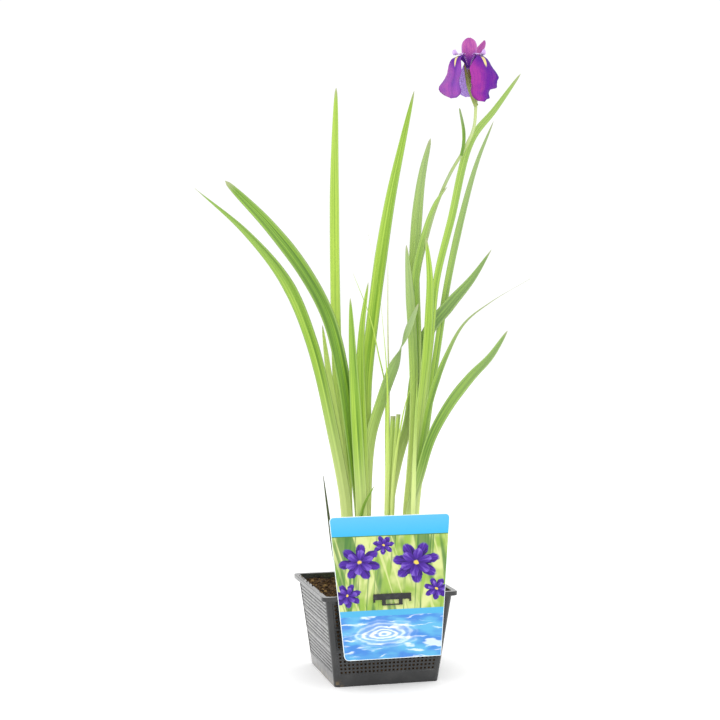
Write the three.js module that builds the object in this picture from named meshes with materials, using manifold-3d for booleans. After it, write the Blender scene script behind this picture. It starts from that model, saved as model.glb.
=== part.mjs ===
// A Japanese iris in bloom, growing in a square mesh pond basket with a picture label hooked over its rim.
// Millimetres, +Z up. The origin is the middle of the basket's base, X runs along its front, Y to its back.
import * as THREE from "three";
import { mergeVertices } from "three/addons/utils/BufferGeometryUtils.js";
import Module from "manifold-3d";

// Clearance between pieces that rest on or against each other, and the distance under which points weld
const GAP = 0.3;
const WELD = 1e-4;

// Basket
const BASE_HALF = 50.1;
const BASE_CORNER = 4;
const WALL_TOP_HALF = 60.9;
const WALL_TOP_CORNER = 5;
const RIM_HALF = 65;
const RIM_CORNER = 5.5;
const HEIGHT = 87;
const RIM_THICKNESS = 1.6;
const LIP_DEPTH = 4;
const WALL_THICKNESS = 1.5;
const FLOOR_THICKNESS = 2;
const CORNER_STEPS = 4;

// Mesh panels, sunk a little into each wall between plain posts, ribs and a bottom band
const PANEL_SINK = 0.5;
const PANEL_ROWS = [
  { low: 11.9, high: 33.3 },
  { low: 36.3, high: 54.9 },
  { low: 57.3, high: 79.7 },
];
const POST_WIDTH = 5.8;

// Soil
const SOIL_LEVEL = 82;
const SOIL_GAP = 0.5;
const SOIL_CELLS = 14;
const SOIL_CORNER_CUT = 3;
const LUMP_HEIGHT = 1.5;
const LUMP_PITCH = 17;
const LUMP_PHASE = 1;
const CROWN = { across: 10, away: 0, halfWidth: 44, halfDepth: 27, fade: 1.4 };

// Label card
const CARD = {
  topHalf: 58, bottomHalf: 46, top: 75, bottom: -56, thickness: 0.8, corner: 5, sharpCorner: 1,
};
const CARD_PLACE = { across: 0, out: -66, up: 85 };
const CARD_LEAN = THREE.MathUtils.degToRad(5);
const SLOT = { half: 10.5, low: 1.9, high: 3.45 };

// Label clip: a bar in front of the card, a small bracket under it and a strap over the rim
const CLIP_BAR = { half: 18, low: -1.9, high: 3.4, thickness: 1.5 };
const CLIP_END = { width: 1.7, drop: 2.2 };
const CLIP_BRACKET = { half: 9.8, drop: 5.2, post: 3.4, strip: 1.1 };
const CLIP_STRAP = { half: 9, low: 2.35, high: 3.05, reach: 9.2, tabDrop: 3.2, tabThickness: 1 };

// Plant
const FOOT = SOIL_LEVEL + GAP;
const PLANT_TURN = THREE.MathUtils.degToRad(-14.45);
const BLADE_THICKNESS = 1.4;
const TURN = [30, 30];
const TAPER = 0.5;
const TIP_SHARPNESS = 0.55;
const TIP_THICKNESS_SHARE = 0.5;
const TIP_CROWDING = 1.25;
const STEM_SIDES = 8;
const STEM_DIAMETER = 3.5;

// Spines of the leaf blades, from the foot in the soil to the tip: across, away and up.
// turn is how far a blade faces away from the front at its foot and its tip, in degrees, twist the
// shares of its length between which it turns, taper the share over which its tip narrows, sharpness
// how sharply it does, and steps how many stretches it is built from.
const LEAVES = {
  leaf_a1: {
    spine: [[-22.5, -1], [-25, -3, 152], [-39, -8, 234], [-59, -18, 320], [-82, -26, 375], [-119, -36, 421],
      [-165, -48, 461]],
    width: 12.6, turn: [35, 20], taper: 0.3, sharpness: 0.95,
  },
  leaf_a2: {
    spine: [[-22, 3], [-26, 2, 151], [-34, 3, 224], [-42, 5, 281], [-49, 8, 334]],
    width: 11.5, turn: [30, 30], taper: 0.45,
  },
  leaf_a3: {
    spine: [[-21, 7], [-25, 8, 151], [-32.5, 11, 233], [-36.6, 16, 358], [-37.5, 22, 474], [-36, 28, 564]],
    width: 11.3, turn: [35, 35], taper: 0.23, sharpness: 0.42,
  },
  leaf_a4: {
    spine: [[-20, 12], [-23, 14, 150], [-25, 16, 213], [-30, 20, 276], [-35, 24, 319], [-37, 29, 378]],
    width: 8, turn: [35, 45], taper: 0.4,
  },
  leaf_b1: {
    spine: [[-11, -8], [-12, -9, 153], [-19, -12, 216], [-29, -18, 288], [-42, -28, 341], [-64, -39, 384],
      [-96, -50, 426], [-136, -60, 467]],
    width: 13.2, turn: [30, 10], taper: 0.2, sharpness: 0.38,
  },
  leaf_b2: {
    spine: [[-10, -12], [-11, -15, 154], [-15, -19, 226], [-19, -23, 292], [-22, -25, 360]],
    width: 12, turn: [25, 25], taper: 0.4,
  },
  leaf_b3: {
    spine: [[-9, -4], [-8, -5, 152], [-10.5, -6, 225], [-12.8, -7, 282], [-10.8, -7, 334], [-5, -6, 375]],
    width: 12, turn: [30, 40], taper: 0.35,
  },
  leaf_b4: {
    spine: [[-8, 6], [-8.5, 6, 152], [-8, 6, 224], [-7, 7, 281], [0, 10, 344], [7, 16, 397], [17, 24, 458],
      [29, 31, 514], [40, 38, 562]],
    width: 13.8, turn: [35, 25], taper: 0.34,
  },
  leaf_b5: {
    spine: [[-7, 2], [-7.5, 2, 151], [-3, 2, 224], [8, -2.4, 263], [21, -11, 300], [32, -21, 329],
      [42, -29, 355]],
    width: 12.5, turn: [30, 150], twist: [0.74, 0.94], taper: 0.22, steps: 72,
  },
  leaf_b6: {
    spine: [[-15, -16], [-14, -17, 130], [-10, -19, 161], [0.5, -22, 182.5]],
    width: 4.5, turn: [20, 20], taper: 0.4, thickness: 1,
  },
  leaf_c1: {
    spine: [[14, 15], [15, 17, 150], [24, 21, 201], [35, 25, 242], [42.5, 28, 290], [53, 30, 326],
      [75, 33, 354], [97, 40, 379], [117, 50, 408]],
    width: 12.5, turn: [55, 5], taper: 0.21, sharpness: 0.78,
  },
  leaf_d1: {
    spine: [[30, -3], [33, -3, 157], [38, -3, 215], [39, -3, 272], [36.5, -1, 339], [31.5, 3, 411]],
    width: 11, turn: [35, 35], taper: 0.16,
  },
  leaf_d2: {
    spine: [[33, 12], [35, 13, 155], [40, 15, 232], [41.5, 19, 320], [40, 24, 397], [46.8, 31, 475],
      [56, 37, 516]],
    width: 13, turn: [35, 35], taper: 0.18, sharpness: 0.42,
  },
  leaf_d3: {
    spine: [[36, -5], [38, -5, 162], [46, -2, 239], [55, 5, 320], [61, 11, 378], [75, 18, 435],
      [95, 27, 513], [118, 32, 543], [144, 38, 579]],
    width: 9.4, turn: [48, 36], taper: 0.16, sharpness: 0.46,
  },
  leaf_d4: {
    spine: [[40, 12], [41.5, 15.5, 155], [51.5, 26, 232], [63, 38, 310], [74, 46, 378], [87, 53, 437],
      [103, 59, 494], [120, 65, 536]],
    width: 10.2, turn: [45, 45], taper: 0.26,
  },
  leaf_d5: {
    spine: [[34, -9], [38, -10, 163], [44, -9, 244], [51.5, -5, 320], [54, 0, 377], [50.5, 5, 418]],
    width: 10, turn: [35, 35], taper: 0.2, sharpness: 0.45,
  },
  leaf_d6: {
    spine: [[33, -18], [34.8, -19, 158], [43.3, -20, 190], [54.5, -23, 228], [71, -30, 260], [90, -38, 286],
      [108, -46, 306], [123, -54, 330]],
    width: 12.3, turn: [50, 25], taper: 0.265,
  },
  leaf_d7: {
    spine: [[37, -11], [39, -11, 160], [45.5, -12, 215], [54, -14, 263], [68, -19, 304], [85, -24, 336],
      [109, -32, 356], [145, -44, 378]],
    width: 8.2, turn: [45, 30], taper: 0.4, sharpness: 1.9, thickness: 1,
  },
  sheath_leaf: {
    spine: [[35, 1.5], [36, 1.5, 151], [40, 2.5, 243], [40, 4.5, 329], [40.5, 7.5, 379], [47.5, 9.5, 416],
      [59.5, 10, 451], [71, 10, 467]],
    width: 9.6, turn: [30, 30], taper: 0.24, thickness: 1.2,
  },
  young_leaf_1: {
    spine: [[35, -23], [37, -26, 154], [39, -28, 225], [41, -25, 282]],
    width: 5, turn: [30, 30], taper: 0.5, thickness: 1,
  },
  young_leaf_2: {
    spine: [[42, 9], [42.5, 9.5, 151], [46, 8.5, 214], [46, 9, 276]],
    width: 5, turn: [30, 30], taper: 0.5, thickness: 1,
  },
};

// Thin blades and grasses, dry unless they name another finish, and cut stubs, all among the fans
const TRIFLES = {
  dry_blade: {
    spine: [[-30, -5.5], [-37, -6.5, 109], [-43, -8, 153], [-48, -10, 192]],
    width: 3.2, thickness: 0.9,
  },
  wisp: {
    spine: [[19, -8], [18, -8, 167], [22, -8, 213], [34, -10, 271], [46, -12, 293]],
    width: 3.6, taper: 0.45, sharpness: 1.2, thickness: 0.9, finish: "leaf",
  },
  grass_1: {
    spine: [[10, 7], [12, 7, 151], [12, 7, 223], [11, 6, 277], [5, 3, 306], [-3, -1, 341], [-20, -6, 385]],
    width: 1.6, thickness: 0.9,
  },
  grass_2: {
    spine: [[11, -5], [12.5, -6, 150], [13.5, -9, 223], [13, -13, 281], [9, -12, 334], [4, -8, 378],
      [-5, -5, 421]],
    width: 5, taper: 0.66, sharpness: 2.4, thickness: 0.9, finish: "leaf",
  },
  grass_3: {
    spine: [[12, 10], [14, 10, 150], [15, 10, 223], [15, 9, 276], [14, 8, 329], [14, 7, 399]],
    width: 1.8, thickness: 0.9,
  },
};
const STUBS = {
  cut_stub_1: {
    spine: [[13, 3], [14, 3, 151], [17, 2, 214], [19, 2, 247]],
    width: 5.8,
  },
  cut_stub_2: {
    spine: [[17, 0], [18, 0, 152], [21, -1, 215], [24, -2, 249]],
    width: 5,
  },
};

// Flower stem, and the pieces that stand on it
const STEPS = { stub: 5, stem: 26, bract: 6, spathe: 7, ovary: 5 };
const STEM_SPINE = [[37, 6], [38, 6, 151], [40, 8, 243], [42, 10, 329], [43, 12, 379], [51, 14, 416],
  [61, 14, 450], [74, 11, 480], [88.5, 8, 505], [96, 6, 523], [98, 5, 546]];
const BRACT = { spine: [[84, 5, 496], [86, 4, 506], [86, 3, 520], [82, 3, 541]], width: 4, thickness: 1 };
const SPATHE = {
  spine: [[97, 3, 547], [92, 1, 558], [89, -1, 569], [86, -3, 583]],
  width: 5.6, thickness: 3,
};
const OVARY = { spine: [[98, 6.5, 547], [95, 6, 559], [93, 5, 568], [91, 4, 578]], diameter: 3.4 };

// Flower: three falls that arch out and hang, three upright standards and three style arms.
// Profiles are out from the flower's middle and up; widths are a share of the length and millimetres.
const FLOWER = [91, 4, 580];
const PETAL_THICKNESS = 0.8;
const SURFACE_STEP = 1e-3;
const GRID = { fall: [14, 6], standard: [7, 4], style: [6, 2] };
const FALLS = [
  {
    turn: 219,
    profile: [[2.6, -1], [6, 6], [11, 9.5], [16, 7], [18, 0], [18.5, -6], [20, -12], [22.5, -18], [23, -24],
      [20, -31]],
    widths: [[0, 2], [0.2, 6], [0.34, 14], [0.5, 15], [0.62, 22], [0.84, 35], [0.94, 29], [1, 10]],
  },
  {
    turn: 315,
    profile: [[2.6, -1], [6, 6], [11, 9.5], [17, 7], [21, 0], [22.5, -6], [23, -12], [21.5, -20],
      [17.5, -27], [16, -34]],
    widths: [[0, 2], [0.2, 6], [0.33, 20], [0.48, 35], [0.62, 40], [0.78, 38], [0.87, 28], [0.95, 21],
      [1, 10]],
  },
  {
    turn: 88,
    profile: [[2.6, -1], [6, 6], [11, 8], [15, 4], [17, -3], [18, -12], [18, -19], [17, -26]],
    widths: [[0, 2], [0.25, 6], [0.5, 10], [0.66, 22], [0.86, 23], [1, 8]],
  },
];
const FALL = { cup: -0.16, ruffle: 0.9, waves: 2.5 };
const STANDARDS = [
  { turn: 267, profile: [[3.6, 0.5], [6.5, 10], [8, 19], [7, 26.5]] },
  {
    turn: 38,
    profile: [[3.6, 0.5], [9, 8], [14, 13], [17, 18], [21, 27]],
    widths: [[0, 2], [0.4, 4.5], [0.62, 12], [0.8, 10], [1, 2]],
  },
  {
    turn: 152,
    profile: [[3.6, 0.5], [4, 9], [4.5, 17], [4.5, 24]],
    widths: [[0, 2], [0.4, 4], [0.7, 10], [0.85, 10], [1, 5]],
  },
];
const STANDARD = {
  widths: [[0, 2], [0.35, 4.5], [0.6, 13], [0.8, 15], [0.93, 11], [1, 5]],
  cup: -0.12, ruffle: 0.4, waves: 1.5,
};
const STYLE = {
  profile: [[1.6, 2.5], [4.5, 9.5], [9, 12], [14, 10.8], [18.5, 12]],
  widths: [[0, 1.4], [0.35, 3], [0.7, 8], [1, 6]],
  cup: -0.2, ruffle: 0, waves: 1,
};

// Finishes
const FINISH = {
  basket: { color: 0x2b2c2e, roughness: 0.5 },
  soil: { color: 0x3a2a1c, roughness: 0.95 },
  card: { color: 0x4fb7ee, roughness: 0.35 },
  clip: { color: 0x151515, roughness: 0.5 },
  leaf: { color: 0x7fb03c, roughness: 0.5 },
  dry: { color: 0xc9c48a, roughness: 0.8 },
  stem: { color: 0x9cab45, roughness: 0.55 },
  fall: { color: 0x6a2aa0, roughness: 0.55 },
  standard: { color: 0xc45ab0, roughness: 0.55 },
  style: { color: 0xd9c0f0, roughness: 0.5 },
};

const wasm = await Module();
wasm.setup();

// A new material for one named mesh.
function material(finish) {
  return new THREE.MeshStandardMaterial({ ...FINISH[finish], metalness: 0 });
}

function named(name, geometry, finish) {
  const mesh = new THREE.Mesh(geometry, material(finish));
  mesh.name = name;
  return mesh;
}

// Indexed geometry from a list of points and a list of triangles.
function geometryOf(points, triangles) {
  const geometry = new THREE.BufferGeometry();
  const places = points.flatMap((p) => p.toArray());
  geometry.setAttribute("position", new THREE.Float32BufferAttribute(places, 3));
  geometry.setIndex(triangles.flat());
  geometry.computeVertexNormals();
  return geometry;
}

// A manifold-3d solid of a closed geometry.
function solidOf(geometry) {
  const bare = geometry.clone();
  bare.deleteAttribute("normal");
  bare.deleteAttribute("uv");
  const merged = mergeVertices(bare, WELD);
  return new wasm.Manifold(
    new wasm.Mesh({
      numProp: 3,
      vertProperties: new Float32Array(merged.attributes.position.array),
      triVerts: new Uint32Array(merged.index.array),
    }),
  );
}

function geometryOfSolid(solid) {
  const mesh = solid.getMesh();
  const geometry = new THREE.BufferGeometry();
  geometry.setAttribute("position", new THREE.BufferAttribute(mesh.vertProperties, 3));
  geometry.setIndex(new THREE.BufferAttribute(mesh.triVerts, 1));
  geometry.computeVertexNormals();
  return geometry;
}

// Skins a row of rings, each counter-clockwise about the way the row runs, and closes both ends.
// The last end may be a single point.
function loft(rings, tip) {
  const sides = rings[0].length;
  const points = rings.flat();
  const triangles = [];
  for (let i = 0; i + 1 < rings.length; i++) {
    for (let j = 0; j < sides; j++) {
      const next = (j + 1) % sides;
      const low = i * sides;
      const high = low + sides;
      triangles.push([low + j, low + next, high + next], [low + j, high + next, high + j]);
    }
  }
  for (let j = 1; j + 1 < sides; j++) triangles.push([0, j + 1, j]);
  const last = (rings.length - 1) * sides;
  if (tip) {
    const end = points.push(tip) - 1;
    for (let j = 0; j < sides; j++) triangles.push([last + j, last + ((j + 1) % sides), end]);
  } else {
    for (let j = 1; j + 1 < sides; j++) triangles.push([last, last + j, last + j + 1]);
  }
  return geometryOf(points, triangles);
}

// Counter-clockwise ring of a square with rounded corners.
function squareRing(half, corner, up) {
  const ring = [];
  for (let quarter = 0; quarter < 4; quarter++) {
    const start = (quarter * Math.PI) / 2;
    const centre = new THREE.Vector2(half - corner, half - corner).rotateAround(new THREE.Vector2(), start);
    for (let step = 0; step <= CORNER_STEPS; step++) {
      const angle = start + (step / CORNER_STEPS) * (Math.PI / 2);
      ring.push(
        new THREE.Vector3(centre.x + corner * Math.cos(angle), centre.y + corner * Math.sin(angle), up),
      );
    }
  }
  return ring;
}

// Half the basket's width across the outside of its wall at a height.
function wallHalf(up) {
  return THREE.MathUtils.mapLinear(up, 0, HEIGHT - LIP_DEPTH, BASE_HALF, WALL_TOP_HALF);
}

// One sunk panel as a slab to cut away, for the wall that faces front.
function panelCutter(row) {
  const middle = (row.low + row.high) / 2;
  const slope = Math.atan2(WALL_TOP_HALF - BASE_HALF, HEIGHT - LIP_DEPTH);
  const half = wallHalf(row.low) - POST_WIDTH;
  const cutter = new THREE.BoxGeometry(2 * half, 2 * PANEL_SINK, row.high - row.low);
  cutter.rotateX(slope);
  cutter.translate(0, -wallHalf(middle), middle);
  return cutter;
}

function basketGeometry() {
  const under = HEIGHT - RIM_THICKNESS;
  const rings = [
    squareRing(BASE_HALF, BASE_CORNER, 0),
    squareRing(wallHalf(under), WALL_TOP_CORNER, under),
    squareRing(RIM_HALF - RIM_THICKNESS, RIM_CORNER - RIM_THICKNESS, under),
    squareRing(RIM_HALF - RIM_THICKNESS, RIM_CORNER - RIM_THICKNESS, HEIGHT - LIP_DEPTH),
    squareRing(RIM_HALF, RIM_CORNER, HEIGHT - LIP_DEPTH),
    squareRing(RIM_HALF, RIM_CORNER, HEIGHT),
    squareRing(wallHalf(HEIGHT) - WALL_THICKNESS, WALL_TOP_CORNER - WALL_THICKNESS, HEIGHT),
    squareRing(wallHalf(FLOOR_THICKNESS) - WALL_THICKNESS, BASE_CORNER - WALL_THICKNESS, FLOOR_THICKNESS),
  ];
  let solid = solidOf(loft(rings));
  for (const row of PANEL_ROWS) {
    for (let side = 0; side < 4; side++) {
      const cutter = panelCutter(row).rotateZ((side * Math.PI) / 2);
      solid = solid.subtract(solidOf(cutter));
    }
  }
  return geometryOfSolid(solid);
}

// Height of the soil's lumpy top, which is level around the crown where the fans stand.
function soilTop(x, y) {
  const flat = new THREE.Vector2(x, y).rotateAround(new THREE.Vector2(), -PLANT_TURN);
  const reach = Math.hypot(
    (flat.x - CROWN.across) / CROWN.halfWidth,
    (flat.y - CROWN.away) / CROWN.halfDepth,
  );
  const broad = Math.sin(x / LUMP_PITCH + LUMP_PHASE) * Math.sin((2 * y) / LUMP_PITCH);
  const narrow = Math.sin((3 * x + y) / LUMP_PITCH);
  const outer = THREE.MathUtils.smoothstep(reach, 1, CROWN.fade);
  return SOIL_LEVEL + (LUMP_HEIGHT / 2) * (broad + narrow) * outer;
}

// The block of soil: a grid on top, tapered sides and a flat underside.
function soilGeometry() {
  const topHalf = wallHalf(SOIL_LEVEL) - WALL_THICKNESS - SOIL_GAP;
  const bottom = FLOOR_THICKNESS + GAP;
  const bottomHalf = wallHalf(bottom) - WALL_THICKNESS - SOIL_GAP;
  const points = [];
  for (const half of [topHalf, bottomHalf]) {
    for (let i = 0; i <= SOIL_CELLS; i++) {
      for (let j = 0; j <= SOIL_CELLS; j++) {
        const cornered = [0, SOIL_CELLS].includes(i) && [0, SOIL_CELLS].includes(j);
        const share = cornered ? 1 - SOIL_CORNER_CUT / topHalf : 1;
        const x = half * share * ((2 * i) / SOIL_CELLS - 1);
        const y = half * share * ((2 * j) / SOIL_CELLS - 1);
        points.push(new THREE.Vector3(x, y, half === topHalf ? soilTop(x, y) : bottom));
      }
    }
  }
  const row = SOIL_CELLS + 1;
  const layer = row * row;
  const triangles = [];
  for (let i = 0; i < SOIL_CELLS; i++) {
    for (let j = 0; j < SOIL_CELLS; j++) {
      const a = i * row + j;
      triangles.push([a, a + row, a + row + 1], [a, a + row + 1, a + 1]);
    }
  }
  const edge = [];
  for (let k = 0; k < SOIL_CELLS; k++) edge.push(k * row);
  for (let k = 0; k < SOIL_CELLS; k++) edge.push(SOIL_CELLS * row + k);
  for (let k = SOIL_CELLS; k > 0; k--) edge.push(k * row + SOIL_CELLS);
  for (let k = SOIL_CELLS; k > 0; k--) edge.push(k);
  edge.forEach((p, k) => {
    const q = edge[(k + 1) % edge.length];
    triangles.push([p, p + layer, q + layer], [p, q + layer, q]);
  });
  for (let k = 1; k + 1 < edge.length; k++) {
    triangles.push([edge[0] + layer, edge[k + 1] + layer, edge[k] + layer]);
  }
  return mergeUsed(points, triangles);
}

// Geometry of only those points that a triangle uses.
function mergeUsed(points, triangles) {
  const places = new Map();
  triangles.flat().forEach((index) => {
    if (!places.has(index)) places.set(index, places.size);
  });
  const used = [...places.keys()].map((index) => points[index]);
  return geometryOf(used, triangles.map((t) => t.map((index) => places.get(index))));
}

// The card's outline with three round corners and one nearly sharp one, and the slot for the strap.
function cardGeometry() {
  const corners = [
    [-CARD.bottomHalf, CARD.bottom, CARD.corner],
    [CARD.bottomHalf, CARD.bottom, CARD.sharpCorner],
    [CARD.topHalf, CARD.top, CARD.corner],
    [-CARD.topHalf, CARD.top, CARD.corner],
  ];
  const shape = new THREE.Shape();
  corners.forEach(([x, y, radius], k) => {
    const here = new THREE.Vector2(x, y);
    const before = new THREE.Vector2(...corners[(k + 3) % 4]).sub(here).setLength(radius).add(here);
    const after = new THREE.Vector2(...corners[(k + 1) % 4]).sub(here).setLength(radius).add(here);
    if (k === 0) shape.moveTo(before.x, before.y);
    else shape.lineTo(before.x, before.y);
    shape.quadraticCurveTo(x, y, after.x, after.y);
  });
  shape.closePath();
  shape.holes.push(rectangle(-SLOT.half, SLOT.half, SLOT.low, SLOT.high));
  const options = { depth: CARD.thickness, bevelEnabled: false, curveSegments: CORNER_STEPS };
  const geometry = new THREE.ExtrudeGeometry(shape, options);
  return geometry.translate(0, 0, -CARD.thickness / 2);
}

function rectangle(left, right, low, high) {
  return new THREE.Shape([
    new THREE.Vector2(left, low),
    new THREE.Vector2(right, low),
    new THREE.Vector2(right, high),
    new THREE.Vector2(left, high),
  ]);
}

// A box between two corners.
function block(low, high) {
  const size = high.map((value, k) => value - low[k]);
  const box = new THREE.BoxGeometry(...size);
  return box.translate(...low.map((value, k) => value + size[k] / 2));
}

function clipGeometry() {
  const back = CARD.thickness / 2 + GAP;
  const front = back + CLIP_BAR.thickness;
  const foot = CLIP_BAR.low - CLIP_BRACKET.drop;
  const inside = back - CLIP_STRAP.reach;
  const blocks = [
    block([-CLIP_BAR.half, CLIP_BAR.low, back], [CLIP_BAR.half, CLIP_BAR.high, front]),
    block([-CLIP_BRACKET.half, foot, back], [CLIP_BRACKET.half, foot + CLIP_BRACKET.strip, front]),
    block([-CLIP_STRAP.half, CLIP_STRAP.low, inside], [CLIP_STRAP.half, CLIP_STRAP.high, back + GAP])
      .rotateX(CARD_LEAN),
    block(
      [-CLIP_STRAP.half, CLIP_STRAP.high - CLIP_STRAP.tabDrop, inside - CLIP_STRAP.tabThickness],
      [CLIP_STRAP.half, CLIP_STRAP.high, inside],
    ).rotateX(CARD_LEAN),
  ];
  for (const side of [-1, 1]) {
    const end = side * CLIP_BAR.half;
    const post = side * CLIP_BRACKET.half;
    const endInner = end - side * CLIP_END.width;
    const postInner = post - side * CLIP_BRACKET.post;
    blocks.push(
      block(
        [Math.min(end, endInner), CLIP_BAR.low - CLIP_END.drop, back],
        [Math.max(end, endInner), CLIP_BAR.low, front],
      ),
      block([Math.min(post, postInner), foot, back], [Math.max(post, postInner), CLIP_BAR.low, front]),
    );
  }
  return geometryOfSolid(blocks.map(solidOf).reduce((whole, piece) => whole.add(piece)));
}

// Points in space from a spine's numbers; a foot without a height stands just clear of the soil.
function spineCurve(spine) {
  const points = spine.map(([across, away, up = FOOT]) => new THREE.Vector3(across, away, up));
  return new THREE.CatmullRomCurve3(points, false, "centripetal");
}

// Tangent, side and face directions at a share of a spine's length, the face turned from the front.
function frameAt(curve, share, turn) {
  const along = curve.getTangentAt(share);
  const front = new THREE.Vector3(0, -1, 0);
  const face = front.addScaledVector(along, -front.dot(along)).normalize();
  face.applyAxisAngle(along, THREE.MathUtils.degToRad(turn));
  const side = face.clone().cross(along);
  return { along, face, side };
}

// Slides a foot ring along the blade until it lies level on the soil.
function levelFoot(ring, along, up) {
  ring.forEach((point) => point.addScaledVector(along, (up - point.z) / along.z));
}

// A share of the full width: full from the foot, then narrowing to the tip.
function tipShare(share, taper, sharpness) {
  return Math.min(1, ((1 - share) / taper) ** sharpness);
}

// A leaf blade with a raised midrib on both faces, pointed or cut off square.
function bladeGeometry(blade, steps, cut) {
  const { spine, width, turn = TURN, twist = [0, 1], taper = TAPER } = blade;
  const { sharpness = TIP_SHARPNESS, thickness = BLADE_THICKNESS } = blade;
  const curve = spineCurve(spine);
  const rings = [];
  for (let step = 0; step < steps + (cut ? 1 : 0); step++) {
    const share = 1 - (1 - step / steps) ** TIP_CROWDING;
    const turned = THREE.MathUtils.lerp(...turn, THREE.MathUtils.smoothstep(share, ...twist));
    const { along, face, side } = frameAt(curve, share, turned);
    const narrowing = cut ? 1 : tipShare(share, taper, sharpness);
    const halfWidth = (width / 2) * narrowing;
    const halfThickness = (thickness / 2) * Math.max(narrowing, TIP_THICKNESS_SHARE);
    const centre = curve.getPointAt(share);
    const ring = [
      centre.clone().addScaledVector(side, halfWidth),
      centre.clone().addScaledVector(face, halfThickness),
      centre.clone().addScaledVector(side, -halfWidth),
      centre.clone().addScaledVector(face, -halfThickness),
    ];
    if (step === 0 && spine[0].length === 2) levelFoot(ring, along, FOOT);
    rings.push(ring);
  }
  return loft(rings, cut ? null : curve.getPoint(1));
}

// A round stalk of even radius along a spine.
function stalkGeometry(spine, steps, radius) {
  const curve = spineCurve(spine);
  const rings = [];
  for (let step = 0; step <= steps; step++) {
    const share = step / steps;
    const { along, face, side } = frameAt(curve, share, 0);
    const centre = curve.getPointAt(share);
    const ring = [];
    for (let k = 0; k < STEM_SIDES; k++) {
      const angle = (k / STEM_SIDES) * 2 * Math.PI;
      ring.push(
        centre
          .clone()
          .addScaledVector(side, radius * Math.cos(angle))
          .addScaledVector(face, radius * Math.sin(angle)),
      );
    }
    if (step === 0 && spine[0].length === 2) levelFoot(ring, along, FOOT);
    rings.push(ring);
  }
  return loft(rings);
}

// Smooth value between the stops of a table of shares and values.
function valueAt(table, share) {
  const next = Math.max(1, table.findIndex(([stop]) => stop >= share));
  const [low, from] = table[next - 1];
  const [high, to] = table[next];
  return THREE.MathUtils.lerp(from, to, THREE.MathUtils.smoothstep(share, low, high));
}

// A thin curved sheet over a grid, closed round its edge.
function sheetGeometry(surface, rows, columns, thickness) {
  const small = SURFACE_STEP;
  const tops = [];
  const bottoms = [];
  for (let i = 0; i <= rows; i++) {
    for (let j = 0; j <= columns; j++) {
      const share = THREE.MathUtils.clamp(i / rows, small, 1 - small);
      const across = THREE.MathUtils.clamp((2 * j) / columns - 1, small - 1, 1 - small);
      const point = surface(share, across);
      const along = surface(share + small, across).sub(surface(share - small, across));
      const aside = surface(share, across + small).sub(surface(share, across - small));
      const normal = along.cross(aside).setLength(thickness / 2);
      tops.push(point.clone().add(normal));
      bottoms.push(point.clone().sub(normal));
    }
  }
  const at = (i, j) => i * (columns + 1) + j;
  const layer = tops.length;
  const triangles = [];
  for (let i = 0; i < rows; i++) {
    for (let j = 0; j < columns; j++) {
      const [a, b, c, d] = [at(i, j), at(i + 1, j), at(i + 1, j + 1), at(i, j + 1)];
      triangles.push([a, b, c], [a, c, d]);
      triangles.push([a + layer, c + layer, b + layer], [a + layer, d + layer, c + layer]);
    }
  }
  const edge = [];
  for (let i = 0; i < rows; i++) edge.push(at(i, 0));
  for (let j = 0; j < columns; j++) edge.push(at(rows, j));
  for (let i = rows; i > 0; i--) edge.push(at(i, columns));
  for (let j = columns; j > 0; j--) edge.push(at(0, j));
  edge.forEach((p, k) => {
    const q = edge[(k + 1) % edge.length];
    triangles.push([p, p + layer, q + layer], [p, q + layer, q]);
  });
  return geometryOf([...tops, ...bottoms], triangles);
}

// A petal's surface: a profile out from the flower's middle, with a width, a cupped cross-section
// and an edge that waves along its length.
function petalSurface({ turn, profile, widths, cup, ruffle, waves }) {
  const curve = new THREE.CatmullRomCurve3(
    profile.map(([out, up]) => new THREE.Vector3(out, 0, up)), false, "centripetal",
  );
  const angle = THREE.MathUtils.degToRad(turn);
  return (share, across) => {
    const half = valueAt(widths, share) / 2;
    const along = curve.getTangentAt(share);
    const wave = ruffle * Math.abs(across) ** 3 * Math.sin(2 * Math.PI * waves * share);
    const rise = cup * across * across * half + wave;
    const point = curve.getPointAt(share).add(new THREE.Vector3(-along.z, 0, along.x).multiplyScalar(rise));
    point.y = half * across;
    return point.applyAxisAngle(new THREE.Vector3(0, 0, 1), angle).add(new THREE.Vector3(...FLOWER));
  };
}

function petalGeometry(petal, [rows, columns]) {
  return sheetGeometry(petalSurface(petal), rows, columns, PETAL_THICKNESS);
}

function addPot(group) {
  group.add(named("basket", basketGeometry(), "basket"));
  group.add(named("soil", soilGeometry(), "soil"));
}

function addLabel(group) {
  const holder = new THREE.Group();
  holder.position.set(CARD_PLACE.across, CARD_PLACE.out, CARD_PLACE.up);
  holder.rotation.x = Math.PI / 2 - CARD_LEAN;
  holder.add(named("label", cardGeometry(), "card"), named("label_clip", clipGeometry(), "clip"));
  group.add(holder);
}

function addLeaves(plant) {
  for (const [name, leaf] of Object.entries(LEAVES)) {
    const steps = leaf.steps ?? 2 * leaf.spine.length + 1;
    plant.add(named(name, bladeGeometry(leaf, steps, false), "leaf"));
  }
  for (const [name, blade] of Object.entries(TRIFLES)) {
    const geometry = bladeGeometry(blade, 2 * blade.spine.length - 1, false);
    plant.add(named(name, geometry, blade.finish ?? "dry"));
  }
  for (const [name, stub] of Object.entries(STUBS)) {
    plant.add(named(name, bladeGeometry(stub, STEPS.stub, true), "leaf"));
  }
}

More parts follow.
